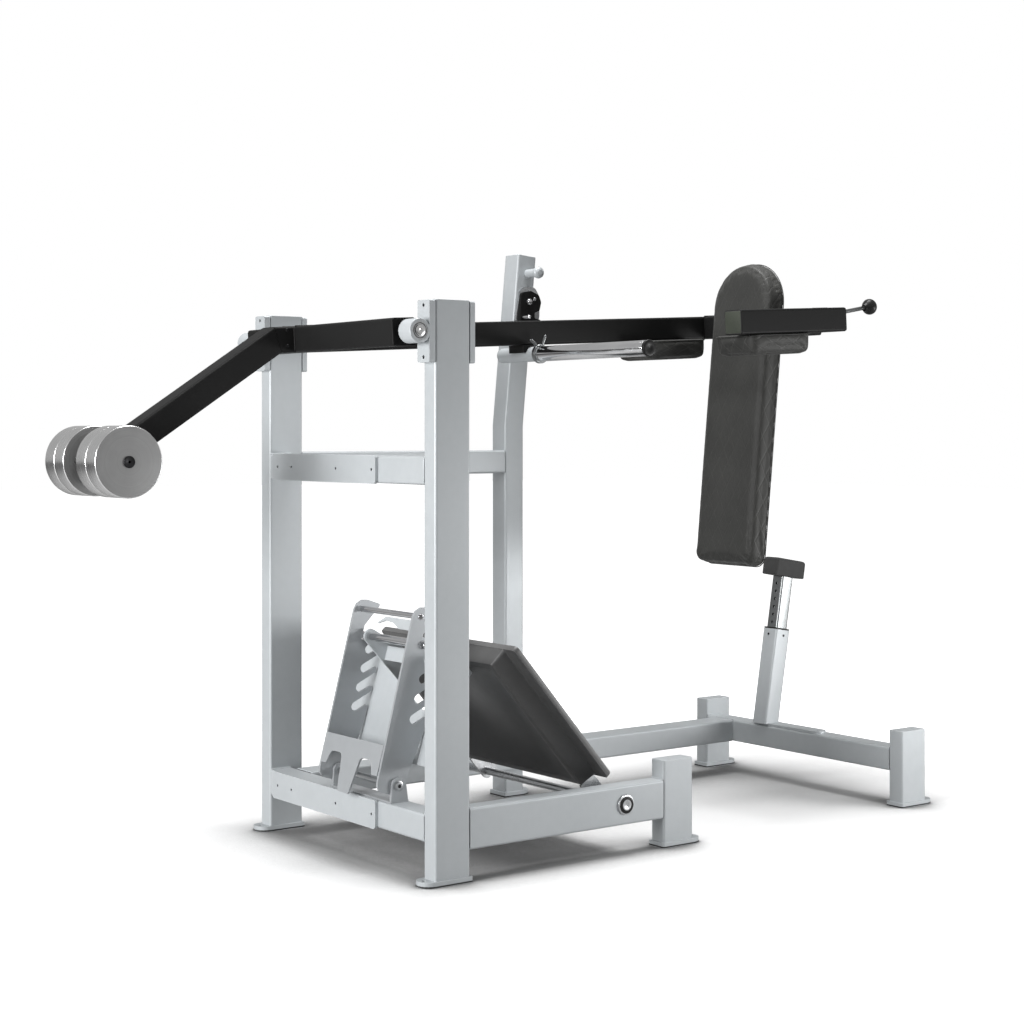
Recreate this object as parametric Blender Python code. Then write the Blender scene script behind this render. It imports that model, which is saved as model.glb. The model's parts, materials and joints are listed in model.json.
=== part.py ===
"""Pendulum squat machine: a free-standing steel frame, a counterweighted swinging arm with
shoulder pads and a back pad, a tilting footplate on a notched ladder, and a height-set stop.

Metres, +Z up. While it is built, the origin lies on the floor under the arm's pivot axis,
midway between the two uprights: +X runs forward to the stop post and -Y is the near side.
At the end the whole machine is moved so that its footprint is centred on the origin.
"""

import math

import bmesh
import bpy
from mathutils import Matrix, Vector

# Driving dimensions of the frame
GAP = 0.0003
FOOT_THICK = 0.017
UPRIGHT_REAR_X = 0.051
UPRIGHT_DEPTH = 0.120
UPRIGHT_WIDTH = 0.060
UPRIGHT_TOP = 1.650
HALF_WIDTH = 0.4985
MID_POST_REAR_X = 0.8985
MID_POST_TOP = 0.268
FRONT_POST_REAR_X = 1.954
FRONT_POST_TOP = 0.259
FRONT_HALF_WIDTH = 0.5173
FRAME_WALL = 0.003
SQUARE = 0.080
LOWER_BEAM_Z = 0.157
UPPER_BEAM_Z = 1.167
JOINT_PLATE_LEFT_Y = 0.4065
JOINT_PLATE_RIGHT_Y = -0.2013
JOINT_PLATE_HEIGHT = 0.084
JOINT_PLATE_THICK = 0.010
JOINT_PLATE_HOLES_Y = (0.372, 0.287, 0.021, -0.180)
NEAR_RAIL_Z = 0.150
NEAR_RAIL_HEIGHT = 0.120
FAR_RAIL_NEAR_Y = 0.310
FAR_RAIL_WIDTH = 0.100
CATCH_POST_REAR_X = 0.986
CATCH_POST_BEND_Z = 1.298
CATCH_POST_TOP = 1.898
CATCH_POST_LEAN = math.radians(5.46)

# Driving dimensions of the swinging arm, whose own frame has x along the main beam
PIVOT_Z = 1.560
ARM_RISE = math.radians(3.1)
ARM_WALL = 0.002
LEVER_WALL = 0.0055
BEAM_WIDTH = 0.080
BEAM_HEIGHT = 0.080
BEAM_Y = 0.165
BEAM_FRONT = 2.233
AXLE_TUBE_END = 0.418
AXLE_RADIUS = 0.016
BARREL_RADIUS = 0.035
BEARING_RADIUS = 0.026
LEVER_BEND = 0.097
LEVER_DROP = math.radians(30.22)
LEVER_LENGTH = 0.6584
DISC_RADIUS = 0.102
DISC_THICK = 0.065
NEAR_BEAM_Y = -0.446
NEAR_BEAM_REAR = 1.241
NEAR_BEAM_FRONT = 1.719
YOKE_X = 1.678
HORN_X = 0.8634
HORN_Z = -0.0718
HORN_RADIUS = 0.025
HORN_NEAR_Y = -0.468
HORN_FAR_Y = 0.297
RELEASE_Z = 0.022
BOLT_RADIUS = 0.0152

# Pads
USER_Y = -0.137
SHOULDER_PAD_LENGTH = 0.267
SHOULDER_PAD_WIDTH = 0.190
SHOULDER_PAD_THICK = 0.065
SHOULDER_PAD_FRONT = 1.558
NECK_HALF_WIDTH = 0.158
BACK_PAD_WIDTH = 0.300
BACK_PAD_LENGTH = 1.040
BACK_PAD_THICK = 0.064
BACK_PAD_LEAN = math.radians(5.74)
BACK_PAD_FOOT = (1.4737, 0.8265)

# Footplate, in its own frame: x down the slope, z out of the tread
HINGE_X = 0.745
HINGE_Z = 0.152
FOOTPLATE_TILT = math.radians(48.95)
TRAY_TOP_X = -0.610
TRAY_BOTTOM_X = -0.062
TRAY_NEAR_Y = -0.434
TRAY_FAR_Y = 0.290
TRAY_UNDER_Z = -0.019
TRAY_STEP_Z = 0.037
TRAY_TREAD_Z = 0.058
TRAY_SHEET = 0.003
SHAFT_RADIUS = 0.0125
BUSHING_RADIUS = 0.0267
BAR_RADIUS = 0.0125

# Ladder, in its own frame: z up along its side plates
LADDER_X = 0.085
LADDER_Z = 0.246
LADDER_LEAN = math.radians(16.07)
LADDER_NEAR_Y = -0.249
LADDER_FAR_Y = 0.082
LADDER_PLATE = 0.008
LADDER_BOLT = 0.010
SLOT_PITCH = 0.0596
SLOT_COUNT = 4
LOWEST_SLOT_Z = 0.197
SLOT_END_X = 0.0045
SLOT_HALF = 0.014
SLOT_ANGLE = math.radians(41)
BAR_AT = (-0.0178, 0.4141)
SHEET_LOW = 0.070
SHEET_TOP = 0.400
SHEET_Y = -0.0885
SHEET_WIDTH = 0.567

# Stop post, whose own frame has z up along the leaning post
STOP_X = 1.979
STOP_Y = 0.165
STOP_LEAN = math.radians(9.5)
STOP_OUTER = 0.070
STOP_OUTER_LENGTH = 0.343
STOP_INNER = 0.055
STOP_INNER_FOOT = 0.150
STOP_INNER_TOP = 0.5395
STOP_HOLE_PITCH = 0.029
STOP_PIN_Z = 0.280

# Latch beside the arm, in the post's upright plane
LATCH_X = 1.075
LATCH_Z = 1.735
LATCH_PIN_AT = (1.1247, 0.0192)
LATCH_THICK = 0.010
CATCH_PLATE = 0.008

PIECES = []


def material(name, colour, roughness, metallic):
    """A plain principled material, made once under its name."""
    if name in bpy.data.materials:
        return bpy.data.materials[name]
    made = bpy.data.materials.new(name)
    made.use_nodes = True
    shader = made.node_tree.nodes["Principled BSDF"]
    shader.inputs["Base Color"].default_value = (*colour, 1)
    shader.inputs["Roughness"].default_value = roughness
    shader.inputs["Metallic"].default_value = metallic
    made.diffuse_color = (*colour, 1)
    return made


def silver_paint():
    return material("silver_paint", (0.45, 0.47, 0.48), 0.38, 0.5)


def black_paint():
    return material("black_paint", (0.022, 0.022, 0.022), 0.45, 0.0)


def grey_paint():
    return material("grey_paint", (0.20, 0.21, 0.22), 0.42, 0.4)


def machined_steel():
    return material("machined_steel", (0.42, 0.42, 0.42), 0.28, 1.0)


def chrome():
    return material("chrome", (0.75, 0.75, 0.76), 0.08, 1.0)


def zinc():
    return material("zinc", (0.52, 0.53, 0.54), 0.32, 1.0)


def black_plastic():
    return material("black_plastic", (0.02, 0.02, 0.02), 0.5, 0.0)


def rubber():
    return material("rubber", (0.03, 0.03, 0.03), 0.7, 0.0)


def upholstery():
    return material("upholstery", (0.06, 0.06, 0.057), 0.6, 0.0)


def empty(name, location, tilt, parent):
    """An empty on a joint's axis, turned about Y so that its pieces keep simple sizes."""
    made = bpy.data.objects.new(name, None)
    made.location = location
    made.rotation_euler = (0, tilt, 0)
    made.parent = parent
    bpy.context.collection.objects.link(made)
    return made


def piece(name, bm, finish, parent, smooth=True):
    """Turns a bmesh into the named object of one sub-part."""
    bmesh.ops.remove_doubles(bm, verts=bm.verts, dist=1e-6)
    bmesh.ops.recalc_face_normals(bm, faces=bm.faces)
    mesh = bpy.data.meshes.new(name)
    bm.to_mesh(mesh)
    bm.free()
    mesh.materials.append(finish)
    if smooth:
        mesh.shade_smooth()
        mesh.set_sharp_from_angle(angle=math.radians(40))
    made = bpy.data.objects.new(name, mesh)
    made.parent = parent
    bpy.context.collection.objects.link(made)
    PIECES.append(made)
    return made


def loft(rings, closed=False):
    """A skin over rings of points: with caps on its two ends, or closed on itself."""
    bm = bmesh.new()
    made = [[bm.verts.new(point) for point in ring] for ring in rings]
    pairs = list(zip(made, made[1:]))
    if closed:
        pairs.append((made[-1], made[0]))
    for lower, upper in pairs:
        count = len(lower)
        for index in range(count):
            after = (index + 1) % count
            bm.faces.new((lower[index], lower[after], upper[after], upper[index]))
    if not closed:
        bm.faces.new(made[0])
        bm.faces.new(made[-1])
    return bm


def rounded(corners, steps=3):
    """A flat outline from corners (x, y, radius), each rounded by an arc of that radius."""
    points = []
    count = len(corners)
    for index, (x, y, radius) in enumerate(corners):
        here = Vector((x, y))
        before = Vector(corners[index - 1][:2]) - here
        after = Vector(corners[(index + 1) % count][:2]) - here
        if radius <= 0:
            points.append((x, y))
            continue
        half = before.angle(after) / 2
        reach = radius / math.tan(half)
        start = here + before.normalized() * reach
        end = here + after.normalized() * reach
        centre = here + (before.normalized() + after.normalized()).normalized() * radius / math.sin(half)
        first = math.atan2(start.y - centre.y, start.x - centre.x)
        sweep = math.atan2(end.y - centre.y, end.x - centre.x) - first
        sweep = (sweep + math.pi) % (2 * math.pi) - math.pi
        for step in range(steps + 1):
            angle = first + sweep * step / steps
            points.append((centre.x + radius * math.cos(angle), centre.y + radius * math.sin(angle)))
    return points


def rectangle(width, height, radius, steps=2):
    """A centred rounded rectangle's outline."""
    a, b = width / 2, height / 2
    return rounded([(-a, -b, radius), (a, -b, radius), (a, b, radius), (-a, b, radius)], steps)


def section(outline, centre, across, up):
    """A flat outline placed at a centre, along two directions."""
    centre, across, up = Vector(centre), Vector(across), Vector(up)
    return [centre + across * x + up * y for x, y in outline]


def run(start, end, across, up):
    """The two stations of a straight tube: centre and the section's two directions at each end."""
    return [(Vector(start), Vector(across), Vector(up)), (Vector(end), Vector(across), Vector(up))]


def tube_mesh(path, width, height, wall, lid=False):
    """A rectangular tube along its stations, open at both ends or shut by a lid at the last."""
    radius, bevel = 0.008, 0.0015
    outer = rectangle(width, height, radius)
    slim = rectangle(width - 2 * bevel, height - 2 * bevel, radius - bevel)
    inner = rectangle(width - 2 * wall, height - 2 * wall, radius - wall)
    first, last = path[0], path[-1]
    begin = (path[1][0] - first[0]).normalized()
    finish = (last[0] - path[-2][0]).normalized()
    depth = wall if lid else 0
    rings = [section(inner, last[0] - finish * depth, *last[1:])]
    rings += [section(inner, *station) for station in reversed(path[1:-1])]
    rings.append(section(inner, *first))
    rings.append(section(slim, *first))
    rings.append(section(outer, first[0] + begin * bevel, *first[1:]))
    rings += [section(outer, *station) for station in path[1:-1]]
    rings.append(section(outer, last[0] - finish * bevel, *last[1:]))
    rings.append(section(slim, *last))
    return loft(rings, closed=not lid)


def tube(name, path, width, height, wall, finish, parent, lid=False):
    return piece(name, tube_mesh(path, width, height, wall, lid), finish, parent)


def turned(profile, origin, axis, steps=24, bored=False):
    """A round body from (radius, distance) points about an axis, capped or closed on itself."""
    axis = Vector(axis).normalized()
    side = axis.orthogonal().normalized()
    other = axis.cross(side)
    rings = []
    for radius, along in profile:
        centre = Vector(origin) + axis * along
        rings.append([centre + (side * math.cos(turn) + other * math.sin(turn)) * radius
                      for turn in (2 * math.pi * step / steps for step in range(steps))])
    return loft(rings, closed=bored)


def rod(radius, start, end, steps=24, bevel=0.001):
    """A solid round bar with small bevels on its ends."""
    start, end = Vector(start), Vector(end)
    length = (end - start).length
    profile = [(radius - bevel, 0), (radius, bevel), (radius, length - bevel), (radius - bevel, length)]
    return turned(profile, start, end - start, steps)


def plate(outline, holes, origin, across, up, thickness):
    """A flat plate of an outline with holes, thickened along across x up."""
    across, up = Vector(across), Vector(up)
    out = across.cross(up).normalized()
    bm = bmesh.new()
    edges = []
    for loop in [outline, *holes]:
        verts = [bm.verts.new(Vector(origin) + across * x + up * y) for x, y in loop]
        edges += [bm.edges.new((verts[index], verts[index - 1])) for index in range(len(verts))]
    filled = bmesh.ops.triangle_fill(bm, use_beauty=True, use_dissolve=False, edges=edges)
    faces = [item for item in filled["geom"] if isinstance(item, bmesh.types.BMFace)]
    raised = bmesh.ops.extrude_face_region(bm, geom=faces)
    moved = [item for item in raised["geom"] if isinstance(item, bmesh.types.BMVert)]
    bmesh.ops.translate(bm, verts=moved, vec=out * thickness)
    return bm


def circle(x, y, radius, steps=16):
    return [(x + radius * math.cos(2 * math.pi * step / steps), y + radius * math.sin(2 * math.pi * step / steps))
            for step in range(steps)]


def guide(name, bm, parent):
    """A hidden body that cuts or joins another piece."""
    made = piece(name, bm, silver_paint(), parent, smooth=False)
    PIECES.remove(made)
    made.hide_render = True
    made.display_type = "WIRE"
    return made


def combine(obj, other, operation):
    """Cuts the other body from a piece, or welds it on."""
    change = obj.modifiers.new(operation.title(), "BOOLEAN")
    change.operation = operation
    change.solver = "EXACT"
    change.object = other


def cut_hole(obj, radius, start, end, parent, steps=24):
    """Drills a round hole between two points."""
    index = len(obj.modifiers) + 1
    drill = guide(f"{obj.name}_drill_{index}", rod(radius, start, end, steps, 0.0001), parent)
    combine(obj, drill, "DIFFERENCE")


def frame_posts(frame):
    """The two uprights and the three short posts, each welded to its foot."""
    half = UPRIGHT_WIDTH / 2
    front_y = FRONT_HALF_WIDTH - half
    places = [
        ("near_upright", UPRIGHT_REAR_X, -HALF_WIDTH + half, UPRIGHT_TOP, -1),
        ("far_upright", UPRIGHT_REAR_X, HALF_WIDTH - half, UPRIGHT_TOP, -1),
        ("near_mid_post", MID_POST_REAR_X, -HALF_WIDTH + half, MID_POST_TOP, 1),
        ("near_front_post", FRONT_POST_REAR_X, -front_y, FRONT_POST_TOP, 1),
        ("far_front_post", FRONT_POST_REAR_X, front_y, FRONT_POST_TOP, 1),
    ]
    for name, x, y, top, reach in places:
        centre = x + UPRIGHT_DEPTH / 2
        path = run((centre, y, FOOT_THICK / 3), (centre, y, top), (1, 0, 0), (0, 1, 0))
        post = tube(name, path, UPRIGHT_DEPTH, UPRIGHT_WIDTH, FRAME_WALL, silver_paint(), frame, lid=True)
        weld_foot(post, x, y, UPRIGHT_DEPTH, UPRIGHT_WIDTH, reach, frame)


def weld_foot(post, x, y, depth, width, reach, frame):
    """A foot plate whose rounded end reaches past its post and holds an anchor hole."""
    rim, tongue = 0.006, 0.038
    half = width / 2 + rim
    flat, nose = (x + depth + rim, x - tongue) if reach < 0 else (x - rim, x + depth + tongue)
    corners = [(flat, -half, 0.006), (flat, half, 0.006), (nose, half, half - 0.001), (nose, -half, half - 0.001)]
    outline = [(px, py + y) for px, py in rounded(corners, 5)]
    anchor = circle(nose - reach * tongue * 0.5, y, 0.0065, 12)
    drain = circle(x + depth / 2, y, 0.010, 12)
    bm = plate(outline, [anchor, drain], (0, 0, 0), (1, 0, 0), (0, 1, 0), FOOT_THICK)
    combine(post, guide(f"{post.name}_foot", bm, frame), "UNION")


def frame_beams(frame):
    """The crossmembers, rails and brace between the posts."""
    up = (0, 0, 1)
    inner = HALF_WIDTH - UPRIGHT_WIDTH - GAP
    x = UPRIGHT_REAR_X + SQUARE / 2
    for name, z in (("rear_lower_crossmember", LOWER_BEAM_Z), ("rear_upper_crossmember", UPPER_BEAM_Z)):
        path = run((x, -inner, z), (x, inner, z), (1, 0, 0), up)
        tube(name, path, SQUARE, SQUARE, FRAME_WALL, silver_paint(), frame)
    start = UPRIGHT_REAR_X + UPRIGHT_DEPTH + GAP
    y = -HALF_WIDTH + UPRIGHT_WIDTH / 2
    path = run((start, y, NEAR_RAIL_Z), (MID_POST_REAR_X - GAP, y, NEAR_RAIL_Z), (0, 1, 0), up)
    rail = tube("near_rail", path, UPRIGHT_WIDTH, NEAR_RAIL_HEIGHT, FRAME_WALL, silver_paint(), frame)
    cut_hole(rail, BUSHING_RADIUS + GAP, (HINGE_X, y - 0.05, HINGE_Z), (HINGE_X, y + 0.05, HINGE_Z), frame)
    y = FAR_RAIL_NEAR_Y + FAR_RAIL_WIDTH / 2
    z = LOWER_BEAM_Z + 0.002
    path = run((UPRIGHT_REAR_X + SQUARE + GAP, y, z), (FRONT_POST_REAR_X - GAP, y, z), (0, 1, 0), up)
    rail = tube("far_rail", path, FAR_RAIL_WIDTH, SQUARE, FRAME_WALL, silver_paint(), frame)
    cut_hole(rail, SHAFT_RADIUS + GAP, (HINGE_X, FAR_RAIL_NEAR_Y - 0.01, HINGE_Z),
             (HINGE_X, FAR_RAIL_NEAR_Y + 0.01, HINGE_Z), frame)
    x = FRONT_POST_REAR_X + SQUARE / 2
    inner = FRONT_HALF_WIDTH - UPRIGHT_WIDTH - GAP
    path = run((x, -inner, z), (x, inner, z), (1, 0, 0), up)
    tube("front_crossbeam", path, SQUARE, SQUARE, FRAME_WALL, silver_paint(), frame)
    y, z = HALF_WIDTH - UPRIGHT_WIDTH / 2, UPPER_BEAM_Z + 0.006
    path = run((start, y, z), (CATCH_POST_REAR_X - GAP, y, z), (0, 1, 0), up)
    tube("upper_brace", path, UPRIGHT_WIDTH, SQUARE, FRAME_WALL, silver_paint(), frame)


def joint_plates(frame):
    """The bolted plates over the two crossmembers' far ends."""
    face_x = UPRIGHT_REAR_X - GAP
    middle = (JOINT_PLATE_LEFT_Y + JOINT_PLATE_RIGHT_Y) / 2
    length = JOINT_PLATE_LEFT_Y - JOINT_PLATE_RIGHT_Y
    outline = rectangle(length, JOINT_PLATE_HEIGHT, 0.012, 4)
    holes = [circle(y - middle, 0, 0.0045, 10) for y in JOINT_PLATE_HOLES_Y]
    for name, z in (("rear_lower_joint_plate", LOWER_BEAM_Z), ("rear_upper_joint_plate", UPPER_BEAM_Z)):
        bm = plate(outline, holes, (face_x, middle, z), (0, 1, 0), (0, 0, 1), -JOINT_PLATE_THICK)
        piece(name, bm, silver_paint(), frame)


def catch_post(frame):
    """The far post beside the arm, which leans forward above its bend."""
    x = CATCH_POST_REAR_X + SQUARE / 2
    y = HALF_WIDTH - UPRIGHT_WIDTH + SQUARE / 2
    rise = CATCH_POST_TOP - CATCH_POST_BEND_Z
    across, up = Vector((1, 0, 0)), Vector((0, 1, 0))
    mitre = Vector((1, 0, -math.tan(CATCH_POST_LEAN / 2)))
    square = Vector((math.cos(CATCH_POST_LEAN), 0, -math.sin(CATCH_POST_LEAN)))
    path = [
        (Vector((x, y, FOOT_THICK / 3)), across, up),
        (Vector((x, y, CATCH_POST_BEND_Z)), mitre, up),
        (Vector((x + rise * math.tan(CATCH_POST_LEAN), y, CATCH_POST_TOP)), square, up),
    ]
    post = tube("catch_post", path, SQUARE, SQUARE, FRAME_WALL, silver_paint(), frame, lid=True)
    weld_foot(post, CATCH_POST_REAR_X, y, SQUARE, SQUARE, 1, frame)
    face = HALF_WIDTH - UPRIGHT_WIDTH
    peg = [(0.015, -0.002), (0.015, 0.048), (0.019, 0.052), (0.021, 0.060), (0.019, 0.068), (0.010, 0.073)]
    combine(post, guide("rest_peg", turned(peg, (1.085, face, 1.835), (0, -1, 0)), frame), "UNION")
    corners = [(-0.030, 0.036, 0.010), (-0.050, -0.066, 0.006), (-0.044, -0.095, 0.010), (0.040, -0.095, 0.012),
               (0.055, -0.050, 0.020), (0.055, 0.020, 0.020), (0.035, 0.052, 0.020), (-0.012, 0.052, 0.020)]
    bm = plate(rounded(corners), [], (LATCH_X, face - GAP, LATCH_Z), (1, 0, 0), (0, 0, 1), CATCH_PLATE)
    catch = piece("catch_plate", bm, zinc(), frame)
    reach = LATCH_THICK + 3 * GAP
    stud = [(0.006, -0.002), (0.006, reach), (0.011, reach), (0.011, reach + 0.005), (0.008, reach + 0.007)]
    base = (LATCH_X, face - GAP - CATCH_PLATE, LATCH_Z)
    combine(catch, guide("latch_stud", turned(stud, base, (0, -1, 0), 20), frame), "UNION")


def bearings(frame):
    """Housings bolted behind the uprights, their clamp plates in front, and the bearings."""
    half = UPRIGHT_WIDTH / 2
    rear, front = UPRIGHT_REAR_X - GAP, UPRIGHT_REAR_X + UPRIGHT_DEPTH + GAP
    outline = rectangle(UPRIGHT_WIDTH, 0.176, 0.006, 3)
    holes = [circle(0, 0.073 * end, 0.0055, 12) for end in (-1, 1)]
    for name, side in (("near", -1), ("far", 1)):
        y = side * (HALF_WIDTH - half)
        bm = plate(outline, holes, (rear, y, PIVOT_Z), (0, 1, 0), (0, 0, 1), -0.020)
        housing = piece(f"{name}_bearing_housing", bm, silver_paint(), frame)
        drum = [(BARREL_RADIUS - 0.002, -half), (BARREL_RADIUS, 0.002 - half),
                (BARREL_RADIUS, half - 0.002), (BARREL_RADIUS - 0.002, half)]
        barrel = guide(f"{name}_barrel", turned(drum, (0, y, PIVOT_Z), (0, side, 0), 24), frame)
        combine(housing, barrel, "UNION")
        cut_hole(housing, BEARING_RADIUS + GAP, (0, y - 0.04, PIVOT_Z), (0, y + 0.04, PIVOT_Z), frame)
        bm = plate(outline, holes, (front, y, PIVOT_Z), (0, 1, 0), (0, 0, 1), 0.016)
        piece(f"{name}_clamp_plate", bm, silver_paint(), frame)
        inside = AXLE_RADIUS + GAP
        ring = [(inside, -half), (BEARING_RADIUS, -half), (BEARING_RADIUS, half - 0.002), (inside, half - 0.002)]
        bm = turned(ring, (0, y, PIVOT_Z), (0, side, 0), bored=True)
        piece(f"{name}_bearing", bm, rubber(), frame)


def arm_beams(arm):
    """The main beam, its counterweight lever, the axle tubes, the near beam and the yoke."""
    paint = black_paint()
    across, up = Vector((0, 1, 0)), Vector((0, 0, 1))
    mitre = Vector((-math.tan(LEVER_DROP / 2), 0, 1))
    bend = Vector((-LEVER_BEND, BEAM_Y, 0))
    path = [(bend, across, mitre), (Vector((BEAM_FRONT, BEAM_Y, 0)), across, up)]
    tube("main_beam", path, BEAM_WIDTH, BEAM_HEIGHT, ARM_WALL, paint, arm, lid=True)
    along = Vector((-math.cos(LEVER_DROP), 0, -math.sin(LEVER_DROP)))
    square = Vector((-math.sin(LEVER_DROP), 0, math.cos(LEVER_DROP)))
    start = bend + along * 2 * GAP
    path = [(start, across, mitre), (bend + along * (LEVER_LENGTH + 0.060), across, square)]
    lever = tube("counterweight_lever", path, BEAM_WIDTH, BEAM_HEIGHT, LEVER_WALL, paint, arm)
    axis = bend + along * LEVER_LENGTH
    cut_hole(lever, BOLT_RADIUS + GAP, axis - across * 0.06, axis + across * 0.06, arm)
    end = HALF_WIDTH + 0.001
    sides = (("near", -1, BEAM_Y - BEAM_WIDTH / 2 - GAP), ("far", 1, BEAM_Y + BEAM_WIDTH / 2 + GAP))
    for name, side, inner in sides:
        path = run((0, inner, 0), (0, side * AXLE_TUBE_END, 0), (1, 0, 0), up)
        axle = tube(f"{name}_axle_tube", path, SQUARE, SQUARE, 0.004, paint, arm, lid=True)
        stub = rod(AXLE_RADIUS, (0, side * (AXLE_TUBE_END - 0.003), 0), (0, side * end, 0))
        combine(axle, guide(f"{name}_stub_axle", stub, arm), "UNION")
    path = run((NEAR_BEAM_FRONT, NEAR_BEAM_Y, 0), (NEAR_BEAM_REAR, NEAR_BEAM_Y, 0), across, up)
    beam = tube("near_beam", path, SQUARE, SQUARE, ARM_WALL, paint, arm, lid=True)
    cap = plate(rectangle(SQUARE - 0.004, SQUARE - 0.004, 0.006), [circle(0, RELEASE_Z, 0.0079, 24)],
                (NEAR_BEAM_FRONT - 0.004, NEAR_BEAM_Y, 0), across, up, 0.006)
    combine(beam, guide("near_beam_cap", cap, arm), "UNION")
    near, far = NEAR_BEAM_Y + SQUARE / 2 + GAP, BEAM_Y - BEAM_WIDTH / 2 - GAP
    path = run((YOKE_X, near, 0), (YOKE_X, far, 0), (1, 0, 0), up)
    tube("yoke_tube", path, SQUARE, SQUARE, ARM_WALL, paint, arm)


def counterweights(arm):
    """Two bored steel discs on each side of the lever and the bolt through them."""
    along = Vector((-math.cos(LEVER_DROP), 0, -math.sin(LEVER_DROP)))
    axis = Vector((-LEVER_BEND, BEAM_Y, 0)) + along * LEVER_LENGTH
    bore, edge, thick = BOLT_RADIUS + GAP, 0.003, DISC_THICK - GAP
    profile = [(bore, 0), (DISC_RADIUS - edge, 0), (DISC_RADIUS, edge), (DISC_RADIUS, thick - edge),
               (DISC_RADIUS - edge, thick), (bore, thick)]
    for name, side in (("near", -1), ("far", 1)):
        for place, title in enumerate(("inner", "outer")):
            start = axis + Vector((0, side * (BEAM_WIDTH / 2 + 0.0035 + place * DISC_THICK), 0))
            bm = turned(profile, start, (0, side, 0), 32, bored=True)
            piece(f"{name}_{title}_counterweight", bm, machined_steel(), arm)
    reach = BEAM_WIDTH / 2 + 0.0035 + 2 * DISC_THICK
    bolt = [(0.017, -reach - 0.004), (0.017, -reach), (BOLT_RADIUS, -reach), (BOLT_RADIUS, reach),
            (0.017, reach), (0.017, reach + 0.004)]
    made = piece("counterweight_bolt", turned(bolt, axis, (0, 1, 0)), black_paint(), arm)
    cut_hole(made, 0.004, axis - Vector((0, reach + 0.010, 0)), axis - Vector((0, reach - 0.008, 0)), arm)


def cushion(outline_at, thickness, crown, inset, base, across, up):
    """A padded form: flat back, sides drawn in towards both faces, and a crowned front."""
    out = Vector(across).cross(Vector(up)).normalized()
    levels = [(inset, 0.0), (0.002, 0.18), (0.0, 0.45), (0.003, 0.72), (inset, 0.88), (2.2 * inset, 0.95)]
    rings = [section(outline_at(shrink), Vector(base) + out * thickness * share, across, up) for shrink, share in levels]
    for step in range(1, 5):
        share = step / 5
        shrink = 2.2 * inset + (0.085 - 2.2 * inset) * share
        height = thickness * 0.95 + crown * math.sin(share * math.pi / 2)
        rings.append(section(outline_at(shrink), Vector(base) + out * height, across, up))
    return loft(rings)


def shoulder_pads(arm):
    """Two pads bolted under the beams, one on each side of the user's neck."""
    length, width = SHOULDER_PAD_LENGTH, SHOULDER_PAD_WIDTH
    base_x, base_z = SHOULDER_PAD_FRONT - length / 2, -SQUARE / 2 - GAP

    def outline_at(shrink):
        return rectangle(width - 2 * shrink, length - 2 * shrink, max(0.030 - shrink, 0.006), 4)

    for name, side in (("near", -1), ("far", 1)):
        base = (base_x, USER_Y + side * (NECK_HALF_WIDTH + width / 2), base_z)
        bm = cushion(outline_at, SHOULDER_PAD_THICK - 0.006, 0.006, 0.006, base, (0, 1, 0), (1, 0, 0))
        piece(f"{name}_shoulder_pad", bm, upholstery(), arm)


def back_pad_outline(shrink):
    """The back pad's outline drawn in by an amount: small lower corners and a half-round head."""
    half = BACK_PAD_WIDTH / 2 - shrink
    radius = max(0.040 - shrink, 0.006)
    neck = BACK_PAD_LENGTH - BACK_PAD_WIDTH / 2
    corners = [(-half, neck, 0), (-half, shrink, radius), (half, shrink, radius), (half, neck, 0)]
    arc = [(half * math.cos(math.pi * step / 20), neck + half * math.sin(math.pi * step / 20))
           for step in range(1, 20)]
    return rounded(corners) + arc


def back_pad(arm):
    """The long back pad on its mounting plate, which a box joins to the yoke."""
    x, z = BACK_PAD_FOOT[0], BACK_PAD_FOOT[1] - PIVOT_Z
    foot_at = (x * math.cos(ARM_RISE) + z * math.sin(ARM_RISE), z * math.cos(ARM_RISE) - x * math.sin(ARM_RISE))
    lean = BACK_PAD_LEAN + ARM_RISE
    pad = empty("back_pad_frame", (foot_at[0], USER_Y, foot_at[1]), lean, arm)
    thick, board_thick = BACK_PAD_THICK, 0.003
    bm = cushion(back_pad_outline, thick - 0.005, 0.005, 0.005, (thick, 0, 0), (0, -1, 0), (0, 0, 1))
    piece("back_pad", bm, upholstery(), pad)
    bm = plate(back_pad_outline(0.036), [], (thick + GAP, 0, 0), (0, 1, 0), (0, 0, 1), board_thick)
    mount = piece("back_pad_mount", bm, black_paint(), pad)
    box = back_pad_box(thick + board_thick - 0.001, foot_at, lean)
    combine(mount, guide("back_pad_box", box, arm), "UNION")


def back_pad_box(board_x, foot_at, lean):
    """The open box between the mounting plate's back and the yoke's rear face."""
    face = YOKE_X - SQUARE / 2 - GAP
    wall = 0.004
    outer = rectangle(0.140, 0.070, 0.006)
    inner = rectangle(0.140 - 2 * wall, 0.070 - 2 * wall, 0.003)

    def on_board(y, z):
        along = (z - foot_at[1] + board_x * math.sin(lean)) / math.cos(lean)
        return Vector((foot_at[0] + board_x * math.cos(lean) + along * math.sin(lean), USER_Y + y, z))

    rings = [[on_board(y, z) for y, z in outer], [Vector((face, USER_Y + y, z)) for y, z in outer],
             [Vector((face, USER_Y + y, z)) for y, z in inner], [on_board(y, z) for y, z in inner]]
    return loft(rings, closed=True)


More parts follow.
